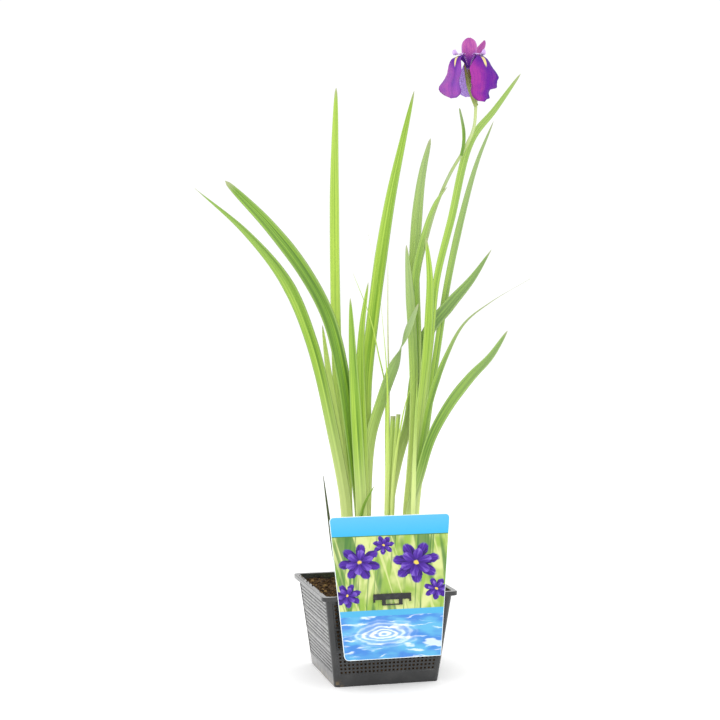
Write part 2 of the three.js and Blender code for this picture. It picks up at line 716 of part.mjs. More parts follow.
function addStem(plant) {
  plant.add(named("flower_stem", stalkGeometry(STEM_SPINE, STEPS.stem, STEM_DIAMETER / 2), "stem"));
  plant.add(named("stem_bract", bladeGeometry(BRACT, STEPS.bract, false), "leaf"));
  plant.add(named("spathe", bladeGeometry(SPATHE, STEPS.spathe, false), "stem"));
  plant.add(named("ovary", stalkGeometry(OVARY.spine, STEPS.ovary, OVARY.diameter / 2), "stem"));
}

function addFlower(plant) {
  FALLS.forEach((fall, k) => {
    plant.add(named("fall_" + (k + 1), petalGeometry({ ...FALL, ...fall }, GRID.fall), "fall"));
    const arm = petalGeometry({ ...STYLE, turn: fall.turn }, GRID.style);
    plant.add(named("style_arm_" + (k + 1), arm, "style"));
  });
  STANDARDS.forEach((standard, k) => {
    const geometry = petalGeometry({ ...STANDARD, ...standard }, GRID.standard);
    plant.add(named("standard_" + (k + 1), geometry, "standard"));
  });
}

const iris = new THREE.Group();
addPot(iris);
addLabel(iris);
const plant = new THREE.Group();
plant.rotation.z = PLANT_TURN;
addLeaves(plant);
addStem(plant);
addFlower(plant);
iris.add(plant);

export default iris;
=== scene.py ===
"""The looks of a Japanese iris in bloom, in a square mesh pond basket with a picture label.

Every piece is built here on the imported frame, in metres, laid out as an add-on with one operator a piece.
"""

import math

import bmesh
import bpy
from bpy.props import FloatProperty, FloatVectorProperty, IntProperty, PointerProperty
from mathutils import Color, Matrix, Vector


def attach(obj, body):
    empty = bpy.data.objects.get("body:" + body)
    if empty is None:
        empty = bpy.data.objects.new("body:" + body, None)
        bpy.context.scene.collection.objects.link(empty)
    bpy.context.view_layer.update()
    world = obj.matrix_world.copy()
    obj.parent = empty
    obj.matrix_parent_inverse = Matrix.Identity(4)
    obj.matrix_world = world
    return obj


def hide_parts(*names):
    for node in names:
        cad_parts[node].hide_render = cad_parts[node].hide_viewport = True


bl_info = {
    "name": "Potted Japanese iris",
    "version": (1, 0, 0),
    "blender": (4, 5, 0),
    "location": "3D View > Sidebar > Iris",
    "description": "Builds a potted Japanese iris on its packed frame",
    "category": "Object",
}

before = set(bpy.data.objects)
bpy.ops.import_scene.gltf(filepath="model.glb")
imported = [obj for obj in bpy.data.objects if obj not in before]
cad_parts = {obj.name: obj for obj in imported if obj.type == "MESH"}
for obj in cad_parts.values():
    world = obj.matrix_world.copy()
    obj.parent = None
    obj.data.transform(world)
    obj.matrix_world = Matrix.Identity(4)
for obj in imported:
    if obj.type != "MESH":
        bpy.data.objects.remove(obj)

MM = 0.001
BODY = "root"
ROUND_ERROR = 0.01 * MM

# The angle from which an edge is sharp, the one up to which faces are flat, and a rounded edge's steps
SHARP = math.radians(32)
FLAT = math.radians(1)
EDGE_STEPS = 2

# Basket, in millimetres: half widths and corner radii of its walls and rim, and where its mesh panels lie
# as their low and high edges and their rows of holes
BASE_HALF = 50.1
BASE_CORNER = 4
WALL_TOP = 83
WALL_TOP_HALF = 60.9
WALL_TOP_CORNER = 5
RIM_HALF = 65
RIM_CORNER = 5.5
HEIGHT = 87
RIM_THICKNESS = 1.6
LIP_FOOT = 83
WALL_THICKNESS = 1.5
FLOOR = 2
CORNER_STEPS = 6
PANELS = ((11.9, 33.3, 6), (36.3, 54.9, 5), (57.3, 79.7, 6))
WALL_SLOPE = (WALL_TOP_HALF - BASE_HALF) / WALL_TOP

# Compost, in millimetres: its block, the strip of the left rim with crumbs on it, and the level crown
SOIL_LEVEL = 82
SOIL_GAP = 0.5
SOIL_BOTTOM = 2.3
SOIL_CELLS = 96
SOIL_CORNER_CUT = 3
SOIL_REACH = 56
RIM_LEFT = (-61.2, 5, 87.2)
RIM_STRIP = 2
LUMP_HEIGHT = 1.5
LUMP_PITCH = 17
LUMP_PHASE = 1
CROWN = {"across": 10, "away": 0, "half_width": 44, "half_depth": 27, "fade": 1.4}

# Label card and its clip, in millimetres along the card from the line where it hangs
CARD = {"top_half": 58, "bottom_half": 46, "top": 75, "bottom": -56, "corner": 5, "sharp_corner": 1}
CARD_PLACE = Vector((0, -66, 85))
CARD_LEAN = math.radians(5)
CARD_EDGE = math.radians(60)
SLOT = (-10.5, 1.9, 10.5, 3.45)
CORNER_POINTS = 8
CLIP_EDGE = 0.15

# The label's print in card millimetres: where its bands part, the middle of its ripples, and its flowers
# as across, up, radius and turn. A flower's rings are a number of petals, their reach, turn and light.
# The printed leaves are layers of a lean, a pitch, how much of the layer shows, and a colour.
PRINT = {"band": 57, "line": 56.2, "picture": -11.2, "stripe": -16.6}
RIPPLE = {"across": -8, "up": -33, "flatness": 2.8, "fineness": 0.8, "reach": 42}
FLOWERS = (
    (43, 6, 13, 0.05), (-7, 48, 11, 0.62), (-42, 3, 14, 0.31), (-30, 33, 21, 0.12), (24, 31, 24, 0.46),
)
STAR = {"tilt": 1.2, "notch": 0.5, "rings": ((7, 1.0, 0.0, 0.2), (6, 0.68, 0.07, 0.5))}
PRINTED_LEAVES = (
    (0.16, 0.1, (0.5, 0.62), "leaf"), (-0.22, 0.16, (0.52, 0.66), "grass"),
    (0.3, 0.24, (0.56, 0.66), "light"), (-0.08, 0.3, (0.58, 0.68), "leaf"),
)

# Plant: how far it is turned against the basket, and where its feet go into the compost
PLANT_TURN = math.radians(-14.45)
FOOT = 80.6
BLADE_THICKNESS = 1.4
CURVE_PIECES = 16
BLADE_SEEDS = 7.3

# Leaf blades in millimetres. Spine points are across, away and up, and a foot without a height is in the
# compost. turn is how far the blade faces away from the front at its foot and its tip, in degrees, twist
# the shares of its length between which it turns, and taper the share over which its tip narrows.
# sharpness is how sharply it does. The rest are traits of its finish.
LEAVES = {
    "leaf_a1": dict(
        spine=[(-22.5, -1), (-25, -3, 152), (-39, -8, 234), (-59, -18, 320), (-82, -26, 375),
               (-119, -36, 421), (-165, -48, 461)],
        width=12.6, turn=(35, 20), taper=0.3, sharpness=0.95, tint=0.35, bloom=0.3, foot=0.32,
    ),
    # leaf_a2's high tint is painted light that comes through it from behind
    "leaf_a2": dict(
        spine=[(-22, 3), (-26, 2, 151), (-34, 3, 224), (-42, 5, 281), (-49, 8, 334)],
        width=11.5, turn=(30, 30), taper=0.45, tint=1.6, bloom=0.2, foot=0.42,
    ),
    "leaf_a3": dict(
        spine=[(-21, 7), (-25, 8, 151), (-32.5, 11, 233), (-36.6, 16, 358), (-37.5, 22, 474),
               (-36, 28, 564)],
        width=11.3, turn=(35, 35), taper=0.23, sharpness=0.42, tint=0.8, foot=0.4,
    ),
    "leaf_a4": dict(
        spine=[(-20, 12), (-23, 14, 150), (-25, 16, 213), (-30, 20, 276), (-35, 24, 319), (-37, 29, 378)],
        width=8, turn=(35, 45), taper=0.4, tint=0.55, foot=0.25,
    ),
    "leaf_b1": dict(
        spine=[(-11, -8), (-12, -9, 153), (-19, -12, 216), (-29, -18, 288), (-42, -28, 341),
               (-64, -39, 384), (-96, -50, 426), (-136, -60, 467)],
        width=13.2, turn=(30, 10), taper=0.2, sharpness=0.38, tint=0.05, bloom=0.1, foot=0.2,
    ),
    "leaf_b2": dict(
        spine=[(-10, -12), (-11, -15, 154), (-15, -19, 226), (-19, -23, 292), (-22, -25, 360)],
        width=12, turn=(25, 25), taper=0.4, tint=0.35, foot=0.24,
    ),
    "leaf_b3": dict(
        spine=[(-9, -4), (-8, -5, 152), (-10.5, -6, 225), (-12.8, -7, 282), (-10.8, -7, 334),
               (-5, -6, 375)],
        width=12, turn=(30, 40), taper=0.35, tint=0.6, foot=0.25,
    ),
    "leaf_b4": dict(
        spine=[(-8, 6), (-8.5, 6, 152), (-8, 6, 224), (-7, 7, 281), (0, 10, 344), (7, 16, 397),
               (17, 24, 458), (29, 31, 514), (40, 38, 562)],
        width=13.8, turn=(35, 25), taper=0.34, tint=0.55, foot=0.32,
    ),
    "leaf_b5": dict(
        spine=[(-7, 2), (-7.5, 2, 151), (-3, 2, 224), (8, -2.4, 263), (21, -11, 300), (32, -21, 329),
               (42, -29, 355)],
        width=12.5, turn=(30, 150), twist=(0.74, 0.94), taper=0.22, tint=0.25, bloom=0.9,
    ),
    "leaf_b6": dict(
        spine=[(-15, -16), (-14, -17, 130), (-10, -19, 161), (0.5, -22, 182.5)],
        width=4.5, turn=(20, 20), taper=0.4, thickness=1, tint=0.3, foot=0.1,
    ),
    # leaf_c1's low tint is painted shade, where it lies behind the d fan
    "leaf_c1": dict(
        spine=[(14, 15), (15, 17, 150), (24, 21, 201), (35, 25, 242), (42.5, 28, 290), (53, 30, 326),
               (75, 33, 354), (97, 40, 379), (117, 50, 408)],
        width=12.5, turn=(55, 5), taper=0.21, sharpness=0.78, tint=-0.1, bloom=0.45, foot=0.31,
    ),
    "leaf_d1": dict(
        spine=[(30, -3), (33, -3, 157), (38, -3, 215), (39, -3, 272), (36.5, -1, 339), (31.5, 3, 411)],
        width=11, turn=(35, 35), taper=0.16, tint=0.6, bloom=0.8, foot=0.33,
    ),
    "leaf_d2": dict(
        spine=[(33, 12), (35, 13, 155), (40, 15, 232), (41.5, 19, 320), (40, 24, 397), (46.8, 31, 475),
               (56, 37, 516)],
        width=13, turn=(35, 35), taper=0.18, sharpness=0.42, tint=0.7, bloom=0.8, foot=0.36,
    ),
    "leaf_d3": dict(
        spine=[(36, -5), (38, -5, 162), (46, -2, 239), (55, 5, 320), (61, 11, 378), (75, 18, 435),
               (95, 27, 513), (118, 32, 543), (144, 38, 579)],
        width=9.4, turn=(48, 36), taper=0.16, sharpness=0.46, tint=0.55, bloom=0.4, foot=0.31,
    ),
    "leaf_d4": dict(
        spine=[(40, 12), (41.5, 15.5, 155), (51.5, 26, 232), (63, 38, 310), (74, 46, 378), (87, 53, 437),
               (103, 59, 494), (120, 65, 536)],
        width=10.2, turn=(45, 45), taper=0.26, tint=0.35, bloom=0.8, foot=0.24,
    ),
    "leaf_d5": dict(
        spine=[(34, -9), (38, -10, 163), (44, -9, 244), (51.5, -5, 320), (54, 0, 377), (50.5, 5, 418)],
        width=10, turn=(35, 35), taper=0.2, sharpness=0.45, tint=0.6, foot=0.33,
    ),
    "leaf_d6": dict(
        spine=[(33, -18), (34.8, -19, 158), (43.3, -20, 190), (54.5, -23, 228), (71, -30, 260),
               (90, -38, 286), (108, -46, 306), (123, -54, 330)],
        width=12.3, turn=(50, 25), taper=0.265, tint=0.1, bloom=0.45, foot=0.22,
    ),
    "leaf_d7": dict(
        spine=[(37, -11), (39, -11, 160), (45.5, -12, 215), (54, -14, 263), (68, -19, 304), (85, -24, 336),
               (109, -32, 356), (145, -44, 378)],
        width=8.2, turn=(45, 30), taper=0.4, sharpness=1.9, thickness=1, tint=0.3, bloom=0.7, foot=0.22,
        withered=0.6,
    ),
    "sheath_leaf": dict(
        spine=[(35, 1.5), (36, 1.5, 151), (40, 2.5, 243), (40, 4.5, 329), (40.5, 7.5, 379),
               (47.5, 9.5, 416), (59.5, 10, 451), (71, 10, 467)],
        width=9.6, turn=(30, 30), taper=0.24, thickness=1.2, tint=0.5, bloom=0.4,
    ),
    "young_leaf_1": dict(
        spine=[(35, -23), (37, -26, 154), (39, -28, 225), (41, -25, 282)],
        width=5, turn=(30, 30), taper=0.5, thickness=1, tint=0.5,
    ),
    "young_leaf_2": dict(
        spine=[(42, 9), (42.5, 9.5, 151), (46, 8.5, 214), (46, 9, 276)],
        width=5, turn=(30, 30), taper=0.5, thickness=1, tint=0.6, foot=0.25,
    ),
}

# Thin blades and grasses among the fans; the fresh ones are green and the others dry
FRESH = ("wisp", "grass_1", "grass_2")
GRASSES = {
    "dry_blade": dict(
        spine=[(-30, -5.5), (-37, -6.5, 109), (-43, -8, 153), (-48, -10, 192)],
        width=3.2, tint=0.0,
    ),
    "wisp": dict(
        spine=[(19, -8), (18, -8, 167), (22, -8, 213), (34, -10, 271), (46, -12, 293)],
        width=3.6, taper=0.45, sharpness=1.2, tint=1.5,
    ),
    "grass_1": dict(
        spine=[(10, 7), (12, 7, 151), (12, 7, 223), (11, 6, 277), (5, 3, 306), (-3, -1, 341),
               (-20, -6, 385)],
        width=2.0, tint=1.4,
    ),
    "grass_2": dict(
        spine=[(11, -5), (12.5, -6, 150), (13.5, -9, 223), (13, -13, 281), (9, -12, 334), (4, -8, 378),
               (-5, -5, 421)],
        width=5, taper=0.66, sharpness=2.4, tint=1.4,
    ),
    "grass_3": dict(
        spine=[(12, 10), (14, 10, 150), (15, 10, 223), (15, 9, 276), (14, 8, 329), (14, 7, 399)],
        width=2.2, tint=1.0,
    ),
}
GRASS_THICKNESS = 0.9
STUBS = {
    "cut_stub_1": dict(
        spine=[(13, 3), (14, 3, 151), (17, 2, 214), (19, 2, 247)],
        width=5.8, tint=0.6,
    ),
    "cut_stub_2": dict(
        spine=[(17, 0), (18, 0, 152), (21, -1, 215), (24, -2, 249)],
        width=5, tint=0.7,
    ),
}

# What a leaf's finish reads, as it is where a leaf does not say: how pale the whole leaf is, which on
# leaf_a2 is painted light and on leaf_c1 painted shade, how much greyish bloom it has towards its tip, the
# height in metres up to which its foot is pale, partly its own paler foot and partly painted light coming
# through the leaves, and the share of its length from which it is withered
LEAF_TRAITS = {"tint": 0.5, "bloom": 0.1, "foot": 0.3, "withered": 0.965}

# How a leaf is shaped across: the shares of its thickness that are its edge, its slope and its midrib,
# the half width of the midrib, and the share over which its edge is rounded; and how blunt its tip is
SECTION = {"edge": 0.16, "slope": 0.5, "rib": 0.34, "rib_half": 0.15, "round": 0.08}
NARROWEST = 0.03

# Flower stem and the pieces on it, in millimetres
STEM_SPINE = [
    (37, 6), (38, 6, 151), (40, 8, 243), (42, 10, 329), (43, 12, 379), (51, 14, 416), (61, 14, 450),
    (74, 11, 480), (88.5, 8, 505), (96, 6, 523), (98, 5, 549),
]
STEM_RADII = (2.0, 1.4)
BRACT = dict(
    spine=[(84, 5, 496), (86, 4, 506), (86, 3, 520), (82, 3, 541)],
    width=4, thickness=1, sharpness=0.3, tint=0.0, bloom=0.8,
)
SPATHE = dict(
    spine=[(98, 3.6, 543), (92, 1, 558), (89, -1, 569), (86, -3, 583)],
    width=5.6, thickness=3,
)
OVARY_SPINE = [(98, 6.5, 547), (95, 6, 559), (93, 5, 568), (91, 4, 578)]
OVARY_RADII = (1.7, 1.6)

# Petals in millimetres. A profile runs out from the flower's middle and up. Widths are a share of the
# petal's length and the half width on its left and its right, or one for both. The blush on a fall's left
# and its right is how pink it is there, and where the two sides differ it is partly painted shade on the
# darker side. pallor is how much light comes through it, painted as a paler lilac.
FLOWER = Vector((91, 4, 580))
FALLS = [
    {
        "turn": 219, "blush": (0.75, 0.5), "pallor": 0.15,
        "profile": [(2.6, -1), (6, 6), (11, 9.5), (16, 7), (18, 0), (18.5, -6), (20, -12), (22.5, -18),
                    (23, -24), (20, -31)],
        "widths": [(0, 1), (0.2, 3), (0.34, 6.5, 7), (0.5, 11.5, 7), (0.64, 17.2, 8), (0.76, 19, 10),
                   (0.86, 18, 11), (0.94, 14.5, 9.5), (1, 5, 4)],
    },
    {
        "turn": 315, "blush": (1.05, 0.0), "pallor": 0.0,
        "profile": [(2.6, -1), (6, 6), (11, 9.5), (17, 7), (21, 0), (22.5, -6), (23, -12), (21.5, -20),
                    (17.5, -27), (16, -34)],
        "widths": [(0, 1), (0.2, 3), (0.33, 10, 9), (0.48, 18.5, 14), (0.605, 21, 18.6), (0.665, 21, 16.8),
                   (0.73, 19.8, 18.6), (0.785, 17.8, 20.2), (0.805, 17, 15), (0.83, 16, 10.8),
                   (0.87, 14.5, 10.4), (0.93, 12, 12.4), (0.96, 10, 7.5), (1, 5, 4)],
    },
    {
        "turn": 88, "blush": (0.6, 0.6), "pallor": 0.95,
        "profile": [(2.6, -1), (6, 6), (11, 8), (15, 4), (17, -3), (18, -12), (18, -19), (17, -26)],
        "widths": [(0, 1), (0.25, 3), (0.45, 5.5, 6), (0.6, 9, 9.5), (0.75, 12), (0.88, 11, 10.5),
                   (0.96, 7), (1, 2.5)],
    },
]
STANDARDS = [
    {
        "turn": 267,
        "profile": [(3.6, 0.5), (6.5, 10), (8, 19), (7, 26.5)],
        "widths": [(0, 1), (0.15, 1.8), (0.28, 3.4), (0.4, 5.8), (0.52, 7.1), (0.68, 7.3), (0.8, 6.6),
                   (0.88, 5.4), (0.95, 3.4), (1, 0.8)],
    },
    {
        "turn": 46,
        "profile": [(3.6, 0.5), (9, 8), (14, 13), (17.5, 19), (23, 28)],
        "widths": [(0, 1), (0.4, 2, 2.5), (0.56, 4, 7), (0.7, 4.5, 8.5), (0.85, 3.5, 5.5), (1, 0.6)],
    },
    {
        "turn": 152,
        "profile": [(3.6, 0.5), (4, 9), (4.5, 17), (4.5, 22.5)],
        "widths": [(0, 1), (0.4, 2), (0.7, 4.4), (0.85, 3.8), (1, 1)],
    },
]
STYLE = {
    "profile": [(1.6, 2.5), (4.5, 9.5), (9, 12), (14, 10.8), (17.5, 11.5), (19, 14.5)],
    "widths": [(0, 2.4), (0.35, 2.8), (0.65, 4.2), (0.85, 3.4), (1, 1.6)],
}

# What each kind of petal is like: how far it is cupped, its waves, how frayed its edge is, its groove in
# millimetres, its ruffle and folds as shares of the settings, and the steps of its seed and its phase
PETALS = {
    "fall": {
        "cup": -0.16, "waves": 2.5, "frill": 0.2, "groove": 0.4, "ruffle": 1.0, "crinkle": 1.0,
        "seed": 3.1, "phase": 1.7,
    },
    "standard": {
        "cup": -0.12, "waves": 1.5, "frill": 0.08, "groove": 0.4, "ruffle": 0.3, "crinkle": 0.4,
        "seed": 2.3, "phase": 0.9,
    },
    "style_arm": {
        "cup": -0.2, "waves": 2.0, "frill": 0.05, "groove": 0.3, "ruffle": 0.25, "crinkle": 0.25,
        "seed": 5.3, "phase": 0.0,
    },
}

# Soft square lights: their places, their targets and their sides in metres
LIGHTS = {
    "key": ((-1.1, -1.2, 1.6), (0, 0, 0.25), 0.9),
    "front": ((-0.42, -1.75, 0.75), (0, 0, 0.3), 0.9),
    "fill": ((1.4, -1.0, 1.0), (0, 0, 0.3), 1.2),
    "back": ((-0.6, 1.5, 1.6), (0, 0, 0.3), 1.2),
}
CAMERA_PLACE = (-0.3705, -1.3864, 0.357)
CAMERA_DIP = math.radians(2.24)
SENSOR = 36
FLOOR_HALF = 6
FLOOR_DROP = 0.1 * MM
WHITE = (1, 1, 1, 1)


def tone(text):
    """Scene-linear red, green and blue of a colour written as on a screen."""
    parts = bytes.fromhex(text.lstrip("#"))
    return tuple(Color([part / 255 for part in parts]).from_srgb_to_scene_linear())


def number(name, description, default, **limits):
    """A property that holds a number from none up."""
    return FloatProperty(name=name, description=description, default=default, min=0, **limits)


def count(name, description, default, least=8):
    """A property that holds a whole number."""
    return IntProperty(name=name, description=description, default=default, min=least)


def length(name, description, default):
    """A property that holds a length in metres."""
    return number(name, description, default, unit="LENGTH", precision=5)


def share(name, description, default):
    """A property that holds a number between none and all."""
    return number(name, description, default, max=1, subtype="FACTOR")


def power(name, description, default):
    """A property that holds a lamp's power in watts."""
    return number(name, description, default, unit="POWER")


def colour(name, description, default):
    """A property that holds a colour."""
    return FloatVectorProperty(
        name=name, description=description, default=tone(default), subtype="COLOR", size=3, min=0, max=1
    )


class BasketSettings(bpy.types.PropertyGroup):
    """Sizes and finish of the pond basket."""

    columns: count("Columns", "Holes side by side in a mesh panel", 24, 1)
    bar_share: share("Bar share", "Share of a hole's pitch that is plastic", 0.47)
    post: length("Post", "Width of the plain post at each corner", 5.8 * MM)
    lap: length("Lap", "How far the mesh runs on behind the frame", 0.75 * MM)
    sink: length("Sink", "How far the mesh lies behind the frame", 0.35 * MM)
    mesh_thickness: length("Mesh thickness", "Thickness of the mesh", 0.9 * MM)
    edge: length("Edge", "Rounding of the moulded edges", 0.5 * MM)
    plastic: colour("Plastic", "Colour of the plastic", "#121314")
    worn: colour("Worn plastic", "Colour where the plastic is dusty", "#242424")
    # Brownish specks low on the basket's left wall
    foot_brown: colour("Foot brown", "Colour of the mud along the foot", "#5c4c30")
    gloss: share("Roughness", "Roughness of the plastic", 0.36)


class SoilSettings(bpy.types.PropertyGroup):
    """Sizes and colours of the compost."""

    roughness: length("Unevenness", "Height of the small lumps", 2 * MM)
    crumbs: number("Crumbs", "Small crumbs on each square metre", 160000)
    clods: number("Clods", "Large crumbs on each square metre", 26000)
    spilt: number("Spilt crumbs", "Crumbs on each square metre of the left rim", 45000)
    crumb: length("Crumb", "Radius of a small crumb", 0.75 * MM)
    clod: length("Clod", "Radius of a large crumb", 2 * MM)
    dark: colour("Dark", "Colour in the hollows", "#20150c")
    brown: colour("Brown", "Colour of most of the compost", "#5a4226")
    pale: colour("Pale", "Colour of the palest crumbs", "#8d7148")


class LabelSettings(bpy.types.PropertyGroup):
    """Sizes and colours of the picture label and its clip."""

    thickness: length("Thickness", "Thickness of the card", 0.8 * MM)
    margin: length("Margin", "Width of the pale edge round the print", 0.5 * MM)
    sky: colour("Sky", "Colour of the band along the top", "#3ba8d8")
    leaf: colour("Leaf", "Dark green of the printed leaves", "#48743a")
    grass: colour("Grass", "Bright green of the printed leaves", "#8cac48")
    light: colour("Light", "Palest yellow behind the printed leaves", "#c9d08c")
    petal: colour("Petal", "Colour of the printed flowers", "#47248f")
    petal_light: colour("Lit petal", "Colour of the printed petals in light", "#8a6cd0")
    petal_dark: colour("Petal seam", "Colour between the printed petals", "#22104f")
    heart: colour("Heart", "Colour of the printed flowers' middles", "#e6c651")
    water: colour("Water", "Colour of the printed water", "#2877c8")
    stripe: colour("Stripe", "Colour of the stripe under the picture", "#4ea6d0")
    foam: colour("Foam", "Colour of the printed ripples", "#eef7fc")
    back: colour("Back", "Colour of the card's back and edge", "#e9f1f2")
    mottle: colour("Mottle", "Colour of the faint patches on the card's back", "#d8e2e4")
    clip: colour("Clip", "Colour of the clip", "#141415")
    rubbed: colour("Rubbed clip", "Colour of the clip's rubbed patches", "#26272a")


class LeafSettings(bpy.types.PropertyGroup):
    """Sizes and colours of the leaves, grasses and stem."""

    rings: count("Rings", "Rings along a leaf", 110)
    sides: count("Sides", "Points round a leaf", 32)
    wander: number("Wander", "How far a leaf turns to and fro along it", math.radians(16), subtype="ANGLE")
    wave: length("Wave", "Height of the waves along a leaf's edges", 0.5 * MM)
    tip_sharpness: share("Tip sharpness", "How sharply a leaf narrows at its tip", 0.55)
    deep: colour("Deep green", "Colour of the darkest streaks of a leaf", "#4a701e")
    green: colour("Green", "Colour of most of a leaf", "#7ba22e")
    bright: colour("Bright green", "Colour of the palest streaks of a leaf", "#b0cd50")
    # Pale foot colour; on the leaves it is partly painted light coming through them near the compost
    base: colour("Foot", "Colour of a leaf near the compost", "#ecf6a8")
    # Pale edge colour of the leaves, partly their own paler margin and partly painted highlights
    rib: colour("Rib", "Colour of the midrib", "#5f9226")
    edge: colour("Edge", "Pale green along a leaf's edges", "#c0dc84")
    bloom: colour("Bloom", "Greyish green of the blades with a bloom", "#98ac7c")
    dry: colour("Dry tip", "Colour of a withered tip", "#a4a880")
    straw: colour("Straw", "Colour of a dry blade", "#ccd494")
    olive: colour("Olive", "Colour of the darkest dry blade", "#46502e")
    stem: colour("Stem", "Colour of the flower stem", "#96a85c")
    sheath: colour("Sheath", "Colour of the sheath under the flower", "#75742e")
    papery: colour("Papery edge", "Colour of the sheath's dry edges", "#6a5434")


class FlowerSettings(bpy.types.PropertyGroup):
    """Sizes and colours of the flower."""

    rows: count("Rows", "Stretches along a petal", 72)
    columns: count("Columns", "Stretches across a petal", 48)
    thickness: length("Thickness", "Thickness of a petal", 0.35 * MM)
    ruffle: length("Ruffle", "Height of the waves along a fall's edge", 1.2 * MM)
    crinkle: length("Crinkle", "Height of the small folds in a petal", 0.8 * MM)
    violet: colour("Violet", "Colour of the deepest parts of a fall", "#4f0e8c")
    purple: colour("Purple", "Colour of most of a fall", "#741e92")
    magenta: colour("Magenta", "Colour of the pinkest parts of a fall", "#9a3292")
    margin: colour("Margin", "Colour along the edge of a fall", "#300a56")
    lilac: colour("Lilac", "Colour of a fall with light behind it", "#bc9ce8")
    signal: colour("Signal", "Colour of the mark at the throat of a fall", "#e2cf8a")
    standard: colour("Standard", "Colour of the standards", "#ac5698")
    style: colour("Style arm", "Colour of the style arms", "#cdb2ea")


class StageSettings(bpy.types.PropertyGroup):
    """Light, floor and camera."""

    world: number("Surroundings", "Strength of the even white light", 1.05)
    key: power("Key light", "Power of the main light", 3.5)
    front: power("Front light", "Power of the soft light above the camera", 10)
    fill: power("Fill light", "Power of the soft light on the right", 1)
    back: power("Back light", "Power of the soft light from behind", 1.5)
    lens: number("Lens", "Focal length in millimetres", 75)
    floor: colour("Floor", "Colour of the floor", "#fdfdfd")
    shaded: colour("Shaded floor", "Colour of the floor's faint patches", "#fcfcfc")
    glow: share("Glow", "Light that the floor gives off, as a lit table does", 0.14)


def operation(name, kind="math", reverse=False):
    """A method that puts a number or vector through a maths node with whatever it is given."""
    def method(self, *others):
        values = (*others, self) if reverse else (self, *others)
        return getattr(self.builder, kind)(name, *values)
    return method


class Wire:
    """A number on its way through a node tree, which sums and products can be made with."""

    def __init__(self, builder, socket):
        self.builder = builder
        self.socket = socket

    __add__ = __radd__ = operation("ADD")
    __sub__ = operation("SUBTRACT")
    __rsub__ = operation("SUBTRACT", reverse=True)
    __mul__ = operation("MULTIPLY")
    __truediv__ = operation("DIVIDE")
    __pow__ = operation("POWER")
    __abs__ = operation("ABSOLUTE")
    least = operation("MINIMUM")
    most = operation("MAXIMUM")
    over = operation("GREATER_THAN")
    arctan = operation("ARCTAN2")
    arcsine = operation("ARCSINE")
    sine = operation("SINE")
    cosine = operation("COSINE")
    sign = operation("SIGN")
    floor = operation("FLOOR")
    nearest = operation("ROUND")
    fraction = operation("FRACT")
    remainder = operation("MODULO")

    def smooth(self, low, high):
        """0 below low and 1 above high, with a smooth change between."""
        return self.builder.map_range(self, low, high, 0.0, 1.0, "SMOOTHSTEP")

    def bump(self, middle, half):
        """1 at a value, falling smoothly to 0 at half a width from it."""
        return 1.0 - abs(self - middle).smooth(0.0, half)


class Arrow(Wire):
    """A vector on its way through a node tree."""

    __add__ = operation("ADD", "vector_math")
    __sub__ = operation("SUBTRACT", "vector_math")
    scaled = operation("SCALE", "vector_math")
    cross = operation("CROSS_PRODUCT", "vector_math")
    dot = operation("DOT_PRODUCT", "vector_math")
    unit = operation("NORMALIZE", "vector_math")

    def turned(self, axis, angle):
        values = {"Vector": self, "Axis": axis, "Angle": angle}
        return self.builder.arrow(
            self.builder.add("ShaderNodeVectorRotate", values, rotation_type="AXIS_ANGLE")
        )

    def parts(self):
        node = self.builder.add("ShaderNodeSeparateXYZ", {0: self})
        return [Wire(self.builder, socket) for socket in node.outputs]


class Builder:
    """Adds nodes to a tree and joins them."""

    def __init__(self, tree):
        self.tree = tree

    def add(self, kind, values=None, **settings):
        node = self.tree.nodes.new(kind)
        for key, value in settings.items():
            setattr(node, key, value)
        for key, value in (values or {}).items():
            self.feed(self.find(node.inputs, key), value)
        return node

    def find(self, sockets, key):
        """A socket by its place, or the first one in use that has a name."""
        if isinstance(key, int):
            return sockets[key]
        return next(s for s in sockets if s.name == key and not s.is_unavailable)

    def feed(self, socket, value):
        if isinstance(value, Wire):
            self.tree.links.new(value.socket, socket)
        else:
            socket.default_value = value

    def wire(self, node, key=0):
        return Wire(self, self.find(node.outputs, key))

    def arrow(self, node, key=0):
        return Arrow(self, self.find(node.outputs, key))

    def math(self, name, *values):
        return self.wire(self.add("ShaderNodeMath", dict(enumerate(values)), operation=name))

    def vector_math(self, name, *values):
        keys = (0, "Scale") if name == "SCALE" else (0, 1)
        node = self.add("ShaderNodeVectorMath", dict(zip(keys, values)), operation=name)
        return self.wire(node, "Value") if name == "DOT_PRODUCT" else self.arrow(node, "Vector")

    def map_range(self, value, low, high, to_low, to_high, kind="LINEAR"):
        inputs = {"Value": value, "From Min": low, "From Max": high, "To Min": to_low, "To Max": to_high}
        return self.wire(self.add("ShaderNodeMapRange", inputs, interpolation_type=kind))

    def vector(self, x, y, z):
        return self.arrow(self.add("ShaderNodeCombineXYZ", {0: x, 1: y, 2: z}))

    def noise(self, place, scale, detail):
        """Smooth noise about 0.5 at a place."""
        values = {"Vector": place, "Scale": scale, "Detail": detail}
        return self.wire(self.add("ShaderNodeTexNoise", values))

    def pattern(self, x, y, z, detail):
        """Smooth noise about 0.5 at three numbers."""
        return self.noise(self.vector(x, y, z), 1.0, detail)


